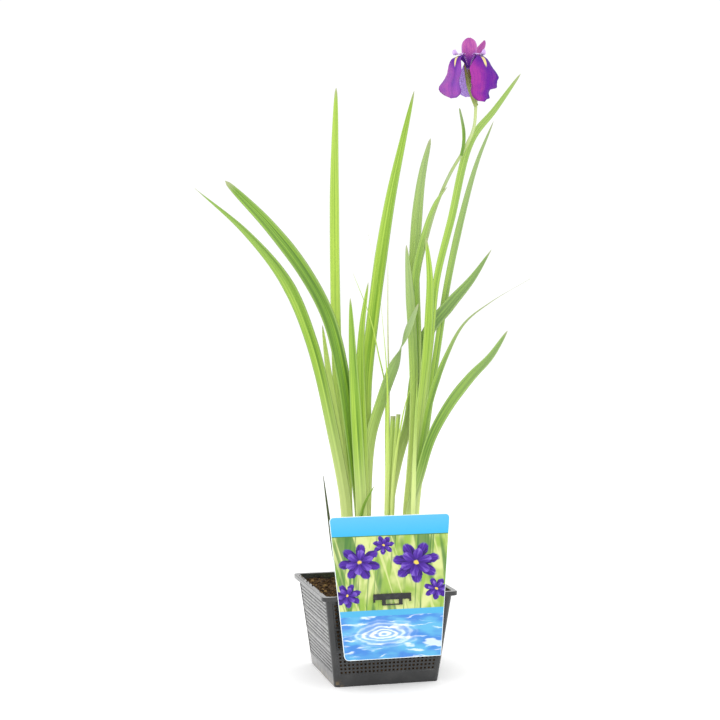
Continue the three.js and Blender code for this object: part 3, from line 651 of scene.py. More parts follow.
class GeometryBuilder(Builder):
    """A Geometry Nodes tree with a named input for each size, which is read by its name in brackets."""

    KINDS = {float: "NodeSocketFloat", int: "NodeSocketInt", Vector: "NodeSocketVector"}

    def __init__(self, name, sizes):
        tree = bpy.data.node_groups.new(name, "GeometryNodeTree")
        tree.interface.new_socket("Geometry", in_out="INPUT", socket_type="NodeSocketGeometry")
        for key, default in sizes.items():
            socket = tree.interface.new_socket(key, in_out="INPUT", socket_type=self.KINDS[type(default)])
            socket.default_value = default
        tree.interface.new_socket("Material", in_out="INPUT", socket_type="NodeSocketMaterial")
        tree.interface.new_socket("Geometry", in_out="OUTPUT", socket_type="NodeSocketGeometry")
        super().__init__(tree)
        self.inputs = self.add("NodeGroupInput")
        self.carrier = self["Geometry"]

    def __getitem__(self, key):
        return self.wire(self.inputs, key)

    def node(self, kind, values=None, output=0, **settings):
        """What comes out of a new geometry node, by its place or name."""
        return self.wire(self.add("GeometryNode" + kind, values, **settings), output)

    def place(self):
        return self.arrow(self.add("GeometryNodeInputPosition"))

    def normal(self):
        return self.arrow(self.add("GeometryNodeInputNormal"))

    def named(self, name):
        return self.node("InputNamedAttribute", {"Name": name}, "Attribute", data_type="FLOAT")

    def random(self, low, high, seed):
        inputs = {"Min": low, "Max": high, "Seed": seed}
        return self.wire(self.add("FunctionNodeRandomValue", inputs, data_type="FLOAT"), "Value")

    def moved(self, geometry, place):
        return self.node("SetPosition", {"Geometry": geometry, "Position": place})

    def shifted(self, geometry, offset):
        return self.node("SetPosition", {"Geometry": geometry, "Offset": offset})

    def stored(self, geometry, **values):
        """Geometry that carries values on its points under their names, for its material."""
        for name, value in values.items():
            inputs = {"Geometry": geometry, "Name": name, "Value": value}
            geometry = self.node("StoreNamedAttribute", inputs, data_type="FLOAT", domain="POINT")
        return geometry

    def joined(self, *geometries):
        node = self.add("GeometryNodeJoinGeometry")
        for geometry in geometries:
            self.tree.links.new(geometry.socket, node.inputs[0])
        return self.wire(node)

    def circle(self):
        """A circle one metre in radius, with a point for each of the tree's sides."""
        return self.node("CurvePrimitiveCircle", {"Resolution": self["Sides"], "Radius": 1.0})

    def grid(self, across, up, columns, rows):
        inputs = {"Size X": across, "Size Y": up, "Vertices X": columns, "Vertices Y": rows}
        return self.node("MeshGrid", inputs)

    def carrier_curve(self):
        return self.node("MeshToCurve", {0: self.carrier})

    def even_line(self):
        """The carrier's line in even steps, and how far along it each of its points is."""
        inputs = {"Curve": self.carrier_curve(), "Count": self["Rings"]}
        return self.node("ResampleCurve", inputs, mode="COUNT"), self.node("SplineParameter")

    def skin(self, line, section, scale):
        """A closed mesh of a section drawn along a line."""
        inputs = {"Curve": line, "Profile Curve": section, "Scale": scale, "Fill Caps": True}
        return self.node("CurveToMesh", inputs)

    def turned_with_plant(self, geometry):
        turn = self.vector(0.0, 0.0, self["Plant turn"])
        return self.node("Transform", {"Geometry": geometry, "Rotation": turn})

    def thickened(self, geometry, offset):
        """A closed sheet between a surface and a copy of it that is moved by an offset."""
        inputs = {"Mesh": geometry, "Offset": offset, "Individual": False}
        raised = self.node("ExtrudeMesh", inputs, mode="FACES")
        both = self.joined(raised, self.node("FlipFaces", {0: geometry}))
        return self.node("MergeByDistance", {0: both, "Distance": ROUND_ERROR})

    def finish(self, geometry, smooth):
        """Ends the tree: realized, shaded and in its material."""
        real = self.node("RealizeInstances", {0: geometry})
        shaded = self.node("SetShadeSmooth", {0: real, "Shade Smooth": smooth})
        dressed = self.node("SetMaterial", {0: shaded, "Material": self["Material"]})
        self.tree.links.new(dressed.socket, self.add("NodeGroupOutput").inputs[0])
        return self.tree


class MaterialBuilder(Builder):
    """A material's node tree around one Principled shader."""

    def __init__(self, name, **constants):
        self.material = bpy.data.materials.new(name)
        self.material.use_nodes = True
        super().__init__(self.material.node_tree)
        self.shader = self.tree.nodes["Principled BSDF"]
        for key, value in constants.items():
            self.shader.inputs[key.replace("_", " ").title().replace("Ior", "IOR")].default_value = value

    def place(self):
        return self.arrow(self.add("ShaderNodeTexCoord"), "Object")

    def attributes(self, *names):
        return [self.wire(self.add("ShaderNodeAttribute", attribute_name=name), "Fac") for name in names]

    def layers(self, base, *layers):
        """A colour with others laid over it in turn, each by a factor from 0 to 1."""
        for factor, over in layers:
            base = self.wire(self.add("ShaderNodeMix", {0: factor, 6: base, 7: over}, data_type="RGBA"), 2)
        return base

    def feed(self, socket, value):
        """Sets or joins a socket; a colour of three parts is given its fourth."""
        if socket.type == "RGBA" and not isinstance(value, Wire):
            value = (*value, 1.0)
        super().feed(socket, value)

    def surface(self, base, roughness=None, height=None, strength=0.3, depth=0.2 * MM):
        """Joins the patterns to the shader."""
        self.feed(self.shader.inputs["Base Color"], base)
        if roughness is not None:
            self.feed(self.shader.inputs["Roughness"], roughness)
        if height is not None:
            bump = self.add("ShaderNodeBump", {"Height": height, "Strength": strength, "Distance": depth})
            self.feed(self.shader.inputs["Normal"], self.wire(bump))
        return self.material


def link(name, data):
    """A new object of a mesh, lamp or camera, in the scene."""
    obj = bpy.data.objects.new(name, data)
    bpy.context.scene.collection.objects.link(obj)
    return obj


def grown(name, carrier, tree, material, sizes):
    """A plain mesh object that a Geometry Nodes tree makes from a carrier mesh."""
    obj = link(name, carrier)
    modifier = obj.modifiers.new("Grow", "NODES")
    modifier.node_group = tree
    values = {**sizes, "Material": material}
    for item in tree.interface.items_tree:
        if item.in_out == "INPUT" and item.name in values:
            value = values[item.name]
            modifier[item.identifier] = float(value) if item.socket_type == "NodeSocketFloat" else value
    graph = bpy.context.evaluated_depsgraph_get()
    mesh = bpy.data.meshes.new_from_object(
        obj.evaluated_get(graph), preserve_all_data_layers=True, depsgraph=graph
    )
    if not mesh.polygons:
        raise RuntimeError(f"{name} came out empty")
    obj.modifiers.remove(modifier)
    obj.data = mesh
    mesh.name = name
    return obj


def from_bmesh(name, shape, *materials):
    """A new object of a bmesh, in the scene, in its materials."""
    mesh = bpy.data.meshes.new(name)
    shape.to_mesh(mesh)
    shape.free()
    for material in materials:
        mesh.materials.append(material)
    return link(name, mesh)


def place_piece(piece, slot, *nodes):
    """Fixes a finished piece to the body, in place of CAD nodes."""
    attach(piece, BODY)
    if nodes:
        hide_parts(*nodes)


def curve_point(stretch, knots, value):
    """A point of one stretch of a Catmull-Rom curve, by repeated blending between its four points."""
    def between(low, high, start, end):
        return low.lerp(high, (value - knots[start]) / (knots[end] - knots[start]))

    a, b, c, d = stretch
    before = between(a, b, 0, 1)
    here = between(b, c, 1, 2)
    after = between(c, d, 2, 3)
    return between(between(before, here, 0, 2), between(here, after, 1, 3), 1, 2)


def smooth_line(points, pieces=CURVE_PIECES):
    """Points close together on the centripetal Catmull-Rom curve through a row of points."""
    row = [points[0] * 2 - points[1], *points, points[-1] * 2 - points[-2]]
    line = []
    for stretch in zip(row, row[1:], row[2:], row[3:]):
        knots = [0.0]
        for here, there in zip(stretch, stretch[1:]):
            knots.append(knots[-1] + math.sqrt((there - here).length))
        for k in range(pieces):
            line.append(curve_point(stretch, knots, knots[1] + (knots[2] - knots[1]) * k / pieces))
    line.append(points[-1].copy())
    return line


def shares_of(line):
    """How far along its length each point of a line is, from 0 to 1."""
    run = [0.0]
    for here, there in zip(line, line[1:]):
        run.append(run[-1] + (there - here).length)
    return [value / run[-1] for value in run]


def line_mesh(name, line, **values):
    """A carrier mesh of one line, with values on its points."""
    mesh = bpy.data.meshes.new(name)
    mesh.from_pydata(line, [(k, k + 1) for k in range(len(line) - 1)], [])
    for key, numbers in values.items():
        mesh.attributes.new(key, "FLOAT", "POINT").data.foreach_set("value", numbers)
    return mesh


def spine_mesh(name, spine):
    """A carrier mesh along a spine given in millimetres; a foot without a height is in the compost."""
    return line_mesh(name, smooth_line([Vector((*point, FOOT)[:3]) * MM for point in spine]))


def table_value(rows, value, column):
    """The number that a table's column has at a value of its first column, along a smooth line."""
    line = smooth_line([Vector((row[0], row[column], 0)) for row in rows])
    for here, there in zip(line, line[1:]):
        if there.x >= value:
            return here.y + (there.y - here.y) * (value - here.x) / (there.x - here.x)
    return line[-1].y


def petal_mesh(name, profile, widths):
    """A carrier mesh along a petal's profile, with its half widths left and right on its points."""
    line = smooth_line([Vector((out, 0, up)) for out, up in profile])
    shares = shares_of(line)
    left, right = ([table_value(widths, value, column) * MM for value in shares] for column in (1, -1))
    return line_mesh(name, [point * MM for point in line], left=left, right=right)


def blade_tree():
    """A leaf along its carrier line: a flat rhombus with a raised midrib, narrowing to its tip."""
    b = GeometryBuilder("Sword leaf", {
        "Width": 10 * MM, "Thickness": BLADE_THICKNESS * MM, "Foot turn": 0.5, "Tip turn": 0.5,
        "Twist start": 0.0, "Twist end": 1.0, "Taper": 0.5, "Sharpness": 0.55, "Blunt": NARROWEST,
        "Wander": 0.0, "Wave": 0.0, "Seed": 0.0, "Rings": 110, "Sides": 32, "Plant turn": 0.0,
        **LEAF_TRAITS,
    })
    even, share_along = b.even_line()
    along = b.arrow(b.add("GeometryNodeInputTangent"))
    sway = b.pattern(share_along * 3.0, b["Seed"], 0.0, 2.0) - 0.5
    twist = b.map_range(
        share_along, b["Twist start"], b["Twist end"], b["Foot turn"], b["Tip turn"], "SMOOTHSTEP"
    )
    front = b.vector(0.0, -1.0, 0.0)
    level = (front - along.scaled(front.dot(along))).unit()
    side = level.turned(along, twist + sway * b["Wander"]).cross(along)
    narrowing = (((1.0 - share_along).most(0.0) / b["Taper"]) ** b["Sharpness"]).least(1.0)
    radius = narrowing.most(b["Blunt"]) * b["Width"] * 0.5
    turned = b.node("SetCurveNormal", {"Curve": even, "Normal": side}, mode="FREE")

    x, y, z = b.place().parts()
    across = x.least(1.0).most(-1.0).arcsine() * (2 / math.pi)
    inward = 1.0 - abs(across)
    rib = across.bump(0.0, SECTION["rib_half"] * 2)
    height = SECTION["edge"] + inward * SECTION["slope"] + rib * SECTION["rib"]
    rounding = (inward / SECTION["round"]).least(1.0) ** 0.5
    relative = b["Thickness"] / b["Width"]
    flattened = b.vector(across, height * rounding * relative * y.sign(), 0.0)
    section = b.moved(b.stored(b.circle(), across=across), flattened)

    skin = b.skin(b.stored(turned, along=share_along), section, radius)
    edge = b.named("across")
    ripple = b.noise(b.place(), 38.0, 1.0) - 0.5
    waved = b.shifted(skin, b.vector(0.0, ripple * b["Wave"] * edge * edge, 0.0))
    marked = b.stored(waved, **{trait: b[trait] for trait in LEAF_TRAITS})
    return b.finish(b.turned_with_plant(marked), True)


def stalk_tree():
    """A round stalk along its carrier line, with fine ridges."""
    b = GeometryBuilder("Stalk", {
        "Foot radius": 2 * MM, "Tip radius": 1.6 * MM, "Ridges": 9.0, "Ridge height": 0.05, "Rings": 110,
        "Sides": 36, "Plant turn": 0.0,
    })
    even, share_along = b.even_line()
    radius = b.map_range(share_along, 0.0, 1.0, b["Foot radius"], b["Tip radius"])
    round_about = b.node("SplineParameter") * math.tau
    ridge = (round_about * b["Ridges"]).cosine() * b["Ridge height"]
    profile = b.stored(b.circle(), across=round_about.cosine())
    section = b.moved(profile, b.place().scaled(1.0 + ridge))
    return b.finish(b.turned_with_plant(b.skin(b.stored(even, along=share_along), section, radius)), True)


def petal_tree():
    """A petal over its carrier profile: a cupped sheet with a groove, small folds and a ruffled edge."""
    b = GeometryBuilder("Petal", {
        "Rows": 72, "Columns": 48, "Thickness": 0.35 * MM, "Cup": -0.15, "Ruffle": 1 * MM, "Waves": 2.5,
        "Phase": 0.0, "Crinkle": 0.5 * MM, "Groove": 0.4 * MM, "Frill": 0.0, "Seed": 0.0, "Turn": 0.0,
        "Plant turn": 0.0, "Blush left": 0.5, "Blush right": 0.5, "Pallor": 0.0,
        "Flower": Vector((0, 0, 0)),
    })
    line = b.carrier_curve()
    x, y, z = b.place().parts()
    share_along = x + 0.5
    across = y * 2.0
    # A fall's pinkness from its left to its right; where the sides differ it is partly painted shade
    blush = b["Blush left"] + (b["Blush right"] - b["Blush left"]) * (across * 0.5 + 0.5)
    sheet = b.stored(
        b.grid(1.0, 1.0, b["Rows"], b["Columns"]), along=share_along, across=across, blush=blush,
        pallor=b["Pallor"],
    )

    def sampled(**values):
        inputs = {"Curves": line, "Factor": share_along, **values}
        return b.add("GeometryNodeSampleCurve", inputs, mode="FACTOR", data_type="FLOAT")

    middle = sampled()
    run_x, run_y, run_z = b.arrow(middle, "Tangent").parts()
    left, right = (b.wire(sampled(Value=b.named(side)), "Value") for side in ("left", "right"))
    half = left + (right - left) * across.over(0.0)
    frayed = b.pattern(share_along * 15.0, across.over(0.0), b["Seed"], 3.0) - 0.5
    spread = half * (1.0 + frayed * b["Frill"])
    wave = (share_along * b["Waves"] * math.tau + b["Phase"] + across.over(0.0)).sine()
    folds = b.pattern(share_along * 5.0, across * 2.2, b["Seed"], 2.0) - 0.5
    rise = (
        b["Cup"] * across * across * half
        + b["Ruffle"] * abs(across) ** 3.0 * wave
        + b["Crinkle"] * folds * share_along.smooth(0.42, 0.7) * 2.0
        - b["Groove"] * across.bump(0.0, 0.22)
    )
    upward = b.vector(run_z * -1.0, 0.0, run_x)
    opened = b.arrow(middle, "Position") + upward.scaled(rise) + b.vector(0.0, spread * across, 0.0)
    vertical = b.vector(0.0, 0.0, 1.0)
    faced = opened.turned(vertical, b["Turn"]) + b["Flower"]
    set_out = b.moved(sheet, faced.turned(vertical, b["Plant turn"]))
    return b.finish(b.thickened(set_out, b.normal().scaled(b["Thickness"])), True)


def mesh_panel_tree():
    """One band of square holes on each of the basket's four walls."""
    b = GeometryBuilder("Basket mesh", {
        "Columns": 24, "Rows": 6, "Bar share": 0.47, "Low": 11.9 * MM, "High": 33.3 * MM,
        "Base half": BASE_HALF * MM, "Slope": WALL_SLOPE, "Post": 5.8 * MM, "Sink": 0.35 * MM,
        "Thickness": 0.9 * MM, "Lap": 0.75 * MM,
    })
    columns = b["Columns"]
    rows = b["Rows"]
    grid = b.grid(1.0, 1.0, columns * 2.0 + 2.0, rows * 2.0 + 2.0)
    x, y, z = b.place().parts()

    def cell_is_hole(place, number_of_holes):
        return ((place + 0.5) * (number_of_holes * 2.0 + 1.0)).floor().remainder(2.0)

    def bar_place(place, number_of_holes):
        line_number = ((place + 0.5) * (number_of_holes * 2.0 + 1.0)).nearest()
        bars = (line_number * 0.5).floor()
        odd = line_number - bars * 2.0
        return (bars + odd * b["Bar share"]) / (number_of_holes + b["Bar share"])

    holes = cell_is_hole(x, columns) * cell_is_hole(y, rows)
    pierced = b.node("DeleteGeometry", {"Geometry": grid, "Selection": holes}, domain="FACE")
    up = b.map_range(bar_place(y, rows), 0.0, 1.0, b["Low"] - b["Lap"], b["High"] + b["Lap"])
    half = b["Base half"] + b["Slope"] * up
    reach = half - b["Post"] + b["Lap"]
    inner = (half - b["Sink"] - b["Thickness"]) * -1.0
    flat = b.moved(pierced, b.vector((bar_place(x, columns) * 2.0 - 1.0) * reach, inner, up))
    wall = b.thickened(flat, b.vector(0.0, b["Thickness"] * -1.0, 0.0))
    quarter = b.node("InputIndex") * (math.pi / 2)
    spots = b.node("Points", {"Count": 4})
    turns = b.vector(0.0, 0.0, quarter)
    copies = b.node("InstanceOnPoints", {"Points": spots, "Instance": wall, "Rotation": turns})
    return b.finish(copies, False)


def crumb_tree():
    """Compost: an uneven top on its carrier block, scattered with crumbs and clods."""
    b = GeometryBuilder("Compost", {
        "Unevenness": 2 * MM, "Crumbs": 160000.0, "Clods": 26000.0, "Crumb": 0.75 * MM, "Clod": 2 * MM,
        "Reach": SOIL_REACH * MM, "Rim width": RIM_STRIP * MM, "Rim middle": Vector((0, 0, 0)),
        "Spilt": 45000.0,
    })
    x, y, z = b.place().parts()
    inside = 1.0 - abs(x).most(abs(y)).over(b["Reach"])
    facing_up = b.normal().parts()[2].over(0.5)
    top = facing_up * inside
    lumps = b.noise(b.place(), 190.0, 4.0) - 0.5
    block = b.node("SetPosition", {
        "Geometry": b.stored(b.carrier, shade=0.35), "Selection": top,
        "Offset": b.vector(0.0, 0.0, lumps * b["Unevenness"]),
    })

    def scattered(ground, chosen, density, radius, fineness, seed):
        points = b.node("DistributePointsOnFaces", {
            "Mesh": ground, "Selection": chosen, "Density": density, "Seed": seed,
        })
        ball = b.node("MeshIcoSphere", {"Radius": radius, "Subdivisions": fineness})
        size = b.random(0.35, 1.25, seed + 1)
        flat = b.random(0.55, 1.0, seed + 2)
        stretch = b.random(0.8, 1.3, seed + 3)
        spin = b.vector(b.random(0.0, math.tau, seed + 4), b.random(0.0, math.tau, seed + 5), 0.0)
        return b.node("InstanceOnPoints", {
            "Points": b.stored(points, shade=b.random(0.0, 1.0, seed + 6)), "Instance": ball,
            "Rotation": spin, "Scale": b.vector(size, size * stretch, size * flat),
        })

    rim = b.shifted(b.grid(b["Rim width"], b["Reach"] * 1.7, 2, 2), b["Rim middle"])
    crumbs = scattered(block, top, b["Crumbs"], b["Crumb"], 1, 11)
    clods = scattered(block, top, b["Clods"], b["Clod"], 2, 31)
    spilt = scattered(rim, True, b["Spilt"], b["Crumb"], 1, 51)
    return b.finish(b.joined(block, crumbs, clods, spilt), False)


def basket_plastic(sizes):
    """Black moulded plastic, a little dusty, with a fine grain and brownish specks along its left foot."""
    m = MaterialBuilder("basket_plastic", specular_ior_level=0.3, coat_weight=0.9, coat_roughness=0.2,
                        sheen_weight=0.2, sheen_roughness=0.2)
    place = m.place()
    x, y, up = place.parts()
    dust = m.noise(place, 60.0, 3.0).smooth(0.42, 0.72)
    # Brownish specks in a noise pattern, low down on the left wall
    brown_specks = m.noise(place, 220.0, 3.0).smooth(0.44, 0.56) * up.smooth(9 * MM, 2 * MM)
    base = m.layers(sizes.plastic, (dust, sizes.worn), (brown_specks * x.smooth(-40 * MM, -47 * MM), sizes.foot_brown))
    roughness = m.map_range(m.noise(place, 130.0, 2.0), 0.3, 0.7, sizes.gloss - 0.05, sizes.gloss + 0.07)
    return m.surface(base, roughness, m.noise(place, 2600.0, 1.0), 0.12, 0.05 * MM)


def clip_plastic(sizes):
    """Plain black plastic with a fine grain and slightly paler rubbed patches."""
    m = MaterialBuilder("clip_plastic")
    place = m.place()
    rubbed = m.noise(place, 240.0, 2.0).smooth(0.45, 0.75)
    roughness = m.map_range(rubbed, 0.0, 1.0, 0.32, 0.45)
    base = m.layers(sizes.clip, (rubbed, sizes.rubbed))
    return m.surface(base, roughness, m.noise(place, 2600.0, 1.0), 0.1, 0.05 * MM)


def compost(sizes):
    """Damp brown compost with darker hollows and pale crumbs."""
    m = MaterialBuilder("compost", roughness=0.92, specular_ior_level=0.15)
    place = m.place()
    [shade] = m.attributes("shade")
    base = m.layers(
        sizes.dark,
        (m.noise(place, 420.0, 3.0).smooth(0.3, 0.7), sizes.brown),
        (shade.smooth(0.82, 1.0), sizes.pale),
        (shade.smooth(0.3, 0.0), sizes.dark),
    )
    return m.surface(base, None, m.noise(place, 1500.0, 3.0), 0.6, 0.4 * MM)


def leaf_green(sizes):
    """A sword leaf: long streaks and fine veins, a midrib, pale edges that are partly painted highlights, a
    pale foot that is partly painted light coming through it, a dry tip, and one half painted lighter than
    the other.
    """
    m = MaterialBuilder("leaf_green", roughness=0.42, specular_ior_level=0.25)
    x, y, up = m.place().parts()
    across, along, tint, bloom, foot, withered = m.attributes("across", "along", *LEAF_TRAITS)
    streak = m.pattern(across * 3.0, along * 2.4, tint * 40.0, 2.0)
    vein = m.pattern(across * 16.0, along * 3.0, tint * 17.0, 2.0)
    # across * 0.1 paints one half of the blade a little lighter than the other: painted light and shade
    light = tint * 0.9 + (streak - 0.5) * 1.6 + (vein - 0.5) * 1.5 + across * 0.1 + 0.05
    base = m.layers(
        sizes.deep,
        (light.smooth(-0.2, 0.45), sizes.green),
        (light.smooth(0.3, 1.05), sizes.bright),
        (across.bump(0.04, 0.12) * 0.4, sizes.rib),
        # Pale edges: partly the leaf's own paler margin, partly painted highlights along its edges
        (abs(across - 0.06).smooth(0.6, 1.0) * 0.4, sizes.edge),
        (bloom * (along.smooth(0.45, 1.0) * 0.8 + 0.1), sizes.bloom),
        # Pale foot: partly the leaves' own paler base, partly painted light coming through them
        (up.smooth(foot, 95 * MM) * 0.9, sizes.base),
        ((along + (streak - 0.5) * 0.03).smooth(withered, 1.0) * 0.8, sizes.dry),
    )
    return m.surface(base, None, vein * 2.0, 0.3, 0.12 * MM)


def dry_straw(sizes):
    """A dry blade: olive to straw, with darker streaks and a greener foot."""
    m = MaterialBuilder("dry_straw", roughness=0.75)
    across, along, tint = m.attributes("across", "along", "tint")
    streak = m.pattern(across * 6.0, along * 30.0, 0.0, 3.0)
    pale = m.layers(sizes.straw, (streak.smooth(0.35, 0.75), sizes.dry))
    base = m.layers(sizes.olive, (tint, pale), (along.smooth(0.6, 0.0) * 0.6, sizes.green))
    return m.surface(base, None, streak, 0.3, 0.1 * MM)


def stem_green(sizes):
    """The stem: yellow green with streaks of bloom, paler at its foot and its top."""
    m = MaterialBuilder("stem_green", roughness=0.5)
    x, y, up = m.place().parts()
    across, along = m.attributes("across", "along")
    streak = m.pattern(across * 4.0, along * 26.0, 3.0, 3.0)
    base = m.layers(
        sizes.stem,
        (streak.smooth(0.3, 0.7), sizes.bloom),
        (up.smooth(170 * MM, 82 * MM) * 0.7, sizes.base),
        (up.smooth(470 * MM, 540 * MM) * 0.3, sizes.base),
    )
    return m.surface(base, None, streak, 0.2, 0.1 * MM)


def sheath_olive(sizes):
    """The sheath under the flower: olive, greener at its foot, with brown papery edges."""
    m = MaterialBuilder("sheath_olive", roughness=0.6)
    across, along = m.attributes("across", "along")
    streak = m.pattern(across * 7.0, along * 9.0, 5.0, 3.0)
    olive = m.layers(sizes.sheath, (streak.smooth(0.35, 0.8) * 0.5, sizes.stem))
    edge = (along + abs(across) * 0.2).smooth(0.75, 1.1)
    base = m.layers(sizes.stem, (along.smooth(0.35, 0.75), olive), (edge, sizes.papery))
    return m.surface(base, None, streak, 0.3, 0.1 * MM)


def fall_purple(sizes):
    """A fall: violet at the throat round a yellow mark, then purple to pink, with veins and dark edges, and
    one side partly painted darker as shade.
    """
    m = MaterialBuilder("fall_purple", roughness=0.6, specular_ior_level=0.12, sheen_weight=0.03)
    across, along, blush, pallor = m.attributes("across", "along", "blush", "pallor")
    drift = m.pattern(across * 2.0, along * 5.0, 1.0, 3.0)
    cloud = m.noise(m.place(), 110.0, 3.0)
    fan = across * (22.0 + along * 14.0)
    vein = (fan + (drift - 0.5) * 7.0).cosine().smooth(0.5, 1.0) * along.smooth(0.42, 0.6)
    # Pink from left to right, partly painted shade: one side of a fall is drawn darker violet
    pink_and_side_shade = blush + (cloud - 0.5) * 0.9 + (drift - 0.5) * 0.5
    throat = (along + abs(across) * 0.12).smooth(0.62, 0.4)
    band = across.bump(0.14, 0.42) * along.smooth(1.0, 0.7)
    edge = (abs(across) * 0.45 + along * 0.6 + (drift - 0.5) * 0.2).smooth(0.84, 1.04)
    unlit = 1.0 - pallor
    wedge = m.map_range(along, 0.3, 0.5, 0.3, 0.05)
    within = 1.0 - (abs(across) / wedge).smooth(0.7, 1.1)
    mark = along.smooth(0.5, 0.43) * along.smooth(0.26, 0.32) * within
    base = m.layers(
        sizes.violet,
        (pink_and_side_shade.smooth(0.0, 0.45), sizes.purple),
        (pink_and_side_shade.smooth(0.4, 0.95), sizes.magenta),
        (pallor, sizes.lilac),
        (vein * 0.22, sizes.violet),
        (throat * 0.85, sizes.violet),
        (band * unlit * 0.55, sizes.violet),
        (edge * unlit * 0.6, sizes.margin),
        (mark, sizes.signal),
    )
    return m.surface(base, None, vein + drift * 2.0 + cloud, 0.35, 0.2 * MM)


def standard_pink(sizes):
    """A standard: pinkish purple with darker veins, a violet foot and a paler edge."""
    m = MaterialBuilder("standard_pink", roughness=0.6, specular_ior_level=0.12, sheen_weight=0.03)
    across, along = m.attributes("across", "along")
    drift = m.pattern(across * 2.0, along * 4.0, 7.0, 3.0)
    vein = (across * 22.0 + (drift - 0.5) * 6.0).cosine().smooth(0.5, 1.0)
    base = m.layers(
        sizes.standard,
        (drift.smooth(0.4, 0.8) * 0.5, sizes.purple),
        (vein * 0.25, sizes.purple),
        (along.smooth(0.6, 0.15) * 0.8, sizes.violet),
        (abs(across).smooth(0.75, 1.0) * 0.25, sizes.style),
    )
    return m.surface(base, None, vein + drift, 0.3, 0.15 * MM)


def style_lilac(sizes):
    """A style arm: pale lilac with a purple rib and pinkish clouds."""
    m = MaterialBuilder("style_lilac", roughness=0.5, specular_ior_level=0.2, sheen_weight=0.05)
    across, along = m.attributes("across", "along")
    drift = m.pattern(across * 3.0, along * 6.0, 9.0, 3.0)
    rib = across.bump(0.0, 0.7) * along.smooth(1.0, 0.3)
    cloud = drift.smooth(0.4, 0.75)
    base = m.layers(sizes.style, (rib * 0.8, sizes.magenta), (cloud * 0.5, sizes.standard))
    return m.surface(base, None, drift, 0.2, 0.1 * MM)


def label_print(sizes):
    """The card's print: a plain band, leaves with many-petalled flowers, a stripe, and rippled water."""
    m = MaterialBuilder("label_print", roughness=0.34, specular_ior_level=0.2)
    mapping = {
        "Vector": m.place(), "Location": CARD_PLACE * MM, "Rotation": (math.pi / 2 - CARD_LEAN, 0, 0),
        "Scale": (MM, MM, MM),
    }
    card = m.arrow(m.add("ShaderNodeMapping", mapping, vector_type="TEXTURE"))
    across, up, out = card.parts()
    paler = m.map_range(up, PRINT["band"], CARD["top"], 0.0, 0.07)
    return m.surface(m.layers(
        rippled_water(m, sizes, across, up),
        (up.over(PRINT["stripe"]), sizes.stripe),
        (up.over(PRINT["picture"]), leafy_picture(m, sizes, card, across, up)),
        (up.over(PRINT["line"]), sizes.leaf),
        (up.over(PRINT["band"]), m.layers(sizes.sky, (paler, sizes.foam))),
    ))


def leafy_picture(m, sizes, card, across, up):
    """Soft leaves in greens that cross each other, with many-petalled flowers before them."""
    picture = m.layers(sizes.grass, (m.noise(card, 0.05, 2.0).smooth(0.35, 0.65), sizes.light))
    for lean, pitch, (low, high), green in PRINTED_LEAVES:
        blades = m.pattern((across + up * lean) * pitch, up * 0.012, lean * 30.0, 1.0)
        picture = m.layers(picture, (blades.smooth(low, high) * 0.8, getattr(sizes, green)))
    for flower in FLOWERS:
        picture = printed_flower(m, sizes, picture, card, across, up, flower)
    return picture


def printed_flower(m, sizes, picture, card, across, up, flower):
    """A starry flower of two rings of pointed petals, over a picture."""
    middle_x, middle_y, radius, turn = flower
    frayed = (m.noise(card, 0.35, 2.0) - 0.5) * 2.4
    x = across - middle_x + frayed
    y = (up - middle_y - frayed) * STAR["tilt"]
    reach = (x * x + y * y) ** 0.5 / radius
    around = y.arctan(x) / math.tau
    for petals, size, shift, lit in STAR["rings"]:
        part = ((around + turn + shift) * petals).fraction()
        aside = abs(part * 2.0 - 1.0)
        outline = (1.0 - aside ** 2.0 * STAR["notch"]) * size
        folds = m.pattern(part * 9.0, reach * 1.5, turn * 20.0 + size, 2.0)
        light = lit + (reach / size - 0.5) * 0.7 + (folds - 0.5) * 1.1 - aside * 0.25
        dark = m.layers(sizes.petal_dark, (light.smooth(-0.1, 0.4), sizes.petal))
        painted = m.layers(dark, (light.smooth(0.35, 1.1), sizes.petal_light))
        picture = m.layers(picture, (1.0 - (reach / outline).smooth(0.9, 1.0), painted))
    return m.layers(picture, (1.0 - (reach + frayed * 0.02).smooth(0.05, 0.13), sizes.heart))


def rippled_water(m, sizes, across, up):
    """Soft rings and bright patches on blue water."""
    warp = m.pattern(across * 0.06, up * 0.16, 2.0, 3.0)
    patches = m.pattern(across * 0.035, up * 0.09, 0.0, 2.0)
    aside = across - RIPPLE["across"]
    away = (up - RIPPLE["up"]) * RIPPLE["flatness"]
    reach = (aside * aside + away * away) ** 0.5
    rings = (reach * RIPPLE["fineness"] + warp * 12.0).sine() * 0.5 + 0.5
    near = (reach + (warp - 0.5) * 40.0).smooth(RIPPLE["reach"], 0.0)
    glint = m.pattern(across * 0.045 + up * 0.03, up * 0.3 + warp * 3.0, 5.0, 1.0)
    crests = rings.smooth(0.35, 0.95) * near + glint.smooth(0.54, 0.66) * 0.75
    return m.layers(
        sizes.water,
        (patches.smooth(0.38, 0.62), sizes.stripe),
        (near * 0.35 + 0.05, sizes.foam),
        (crests.least(1.0) * 0.85, sizes.foam),
        (rings.smooth(0.3, 0.0) * near * 0.45, sizes.water),
    )


def card_back(sizes):
    """The bare card: off-white, faintly mottled."""
    m = MaterialBuilder("card_back", roughness=0.5)
    return m.surface(m.layers(sizes.back, (m.noise(m.place(), 300.0, 2.0), sizes.mottle)))


def strip(shape, one, other, material=0, gaps=()):
    """A closed band of faces between two rings of points, in one material, with gaps at some places."""
    for k in range(len(one)):
        if k not in gaps:
            after = (k + 1) % len(one)
            shape.faces.new((one[k], one[after], other[after], other[k])).material_index = material


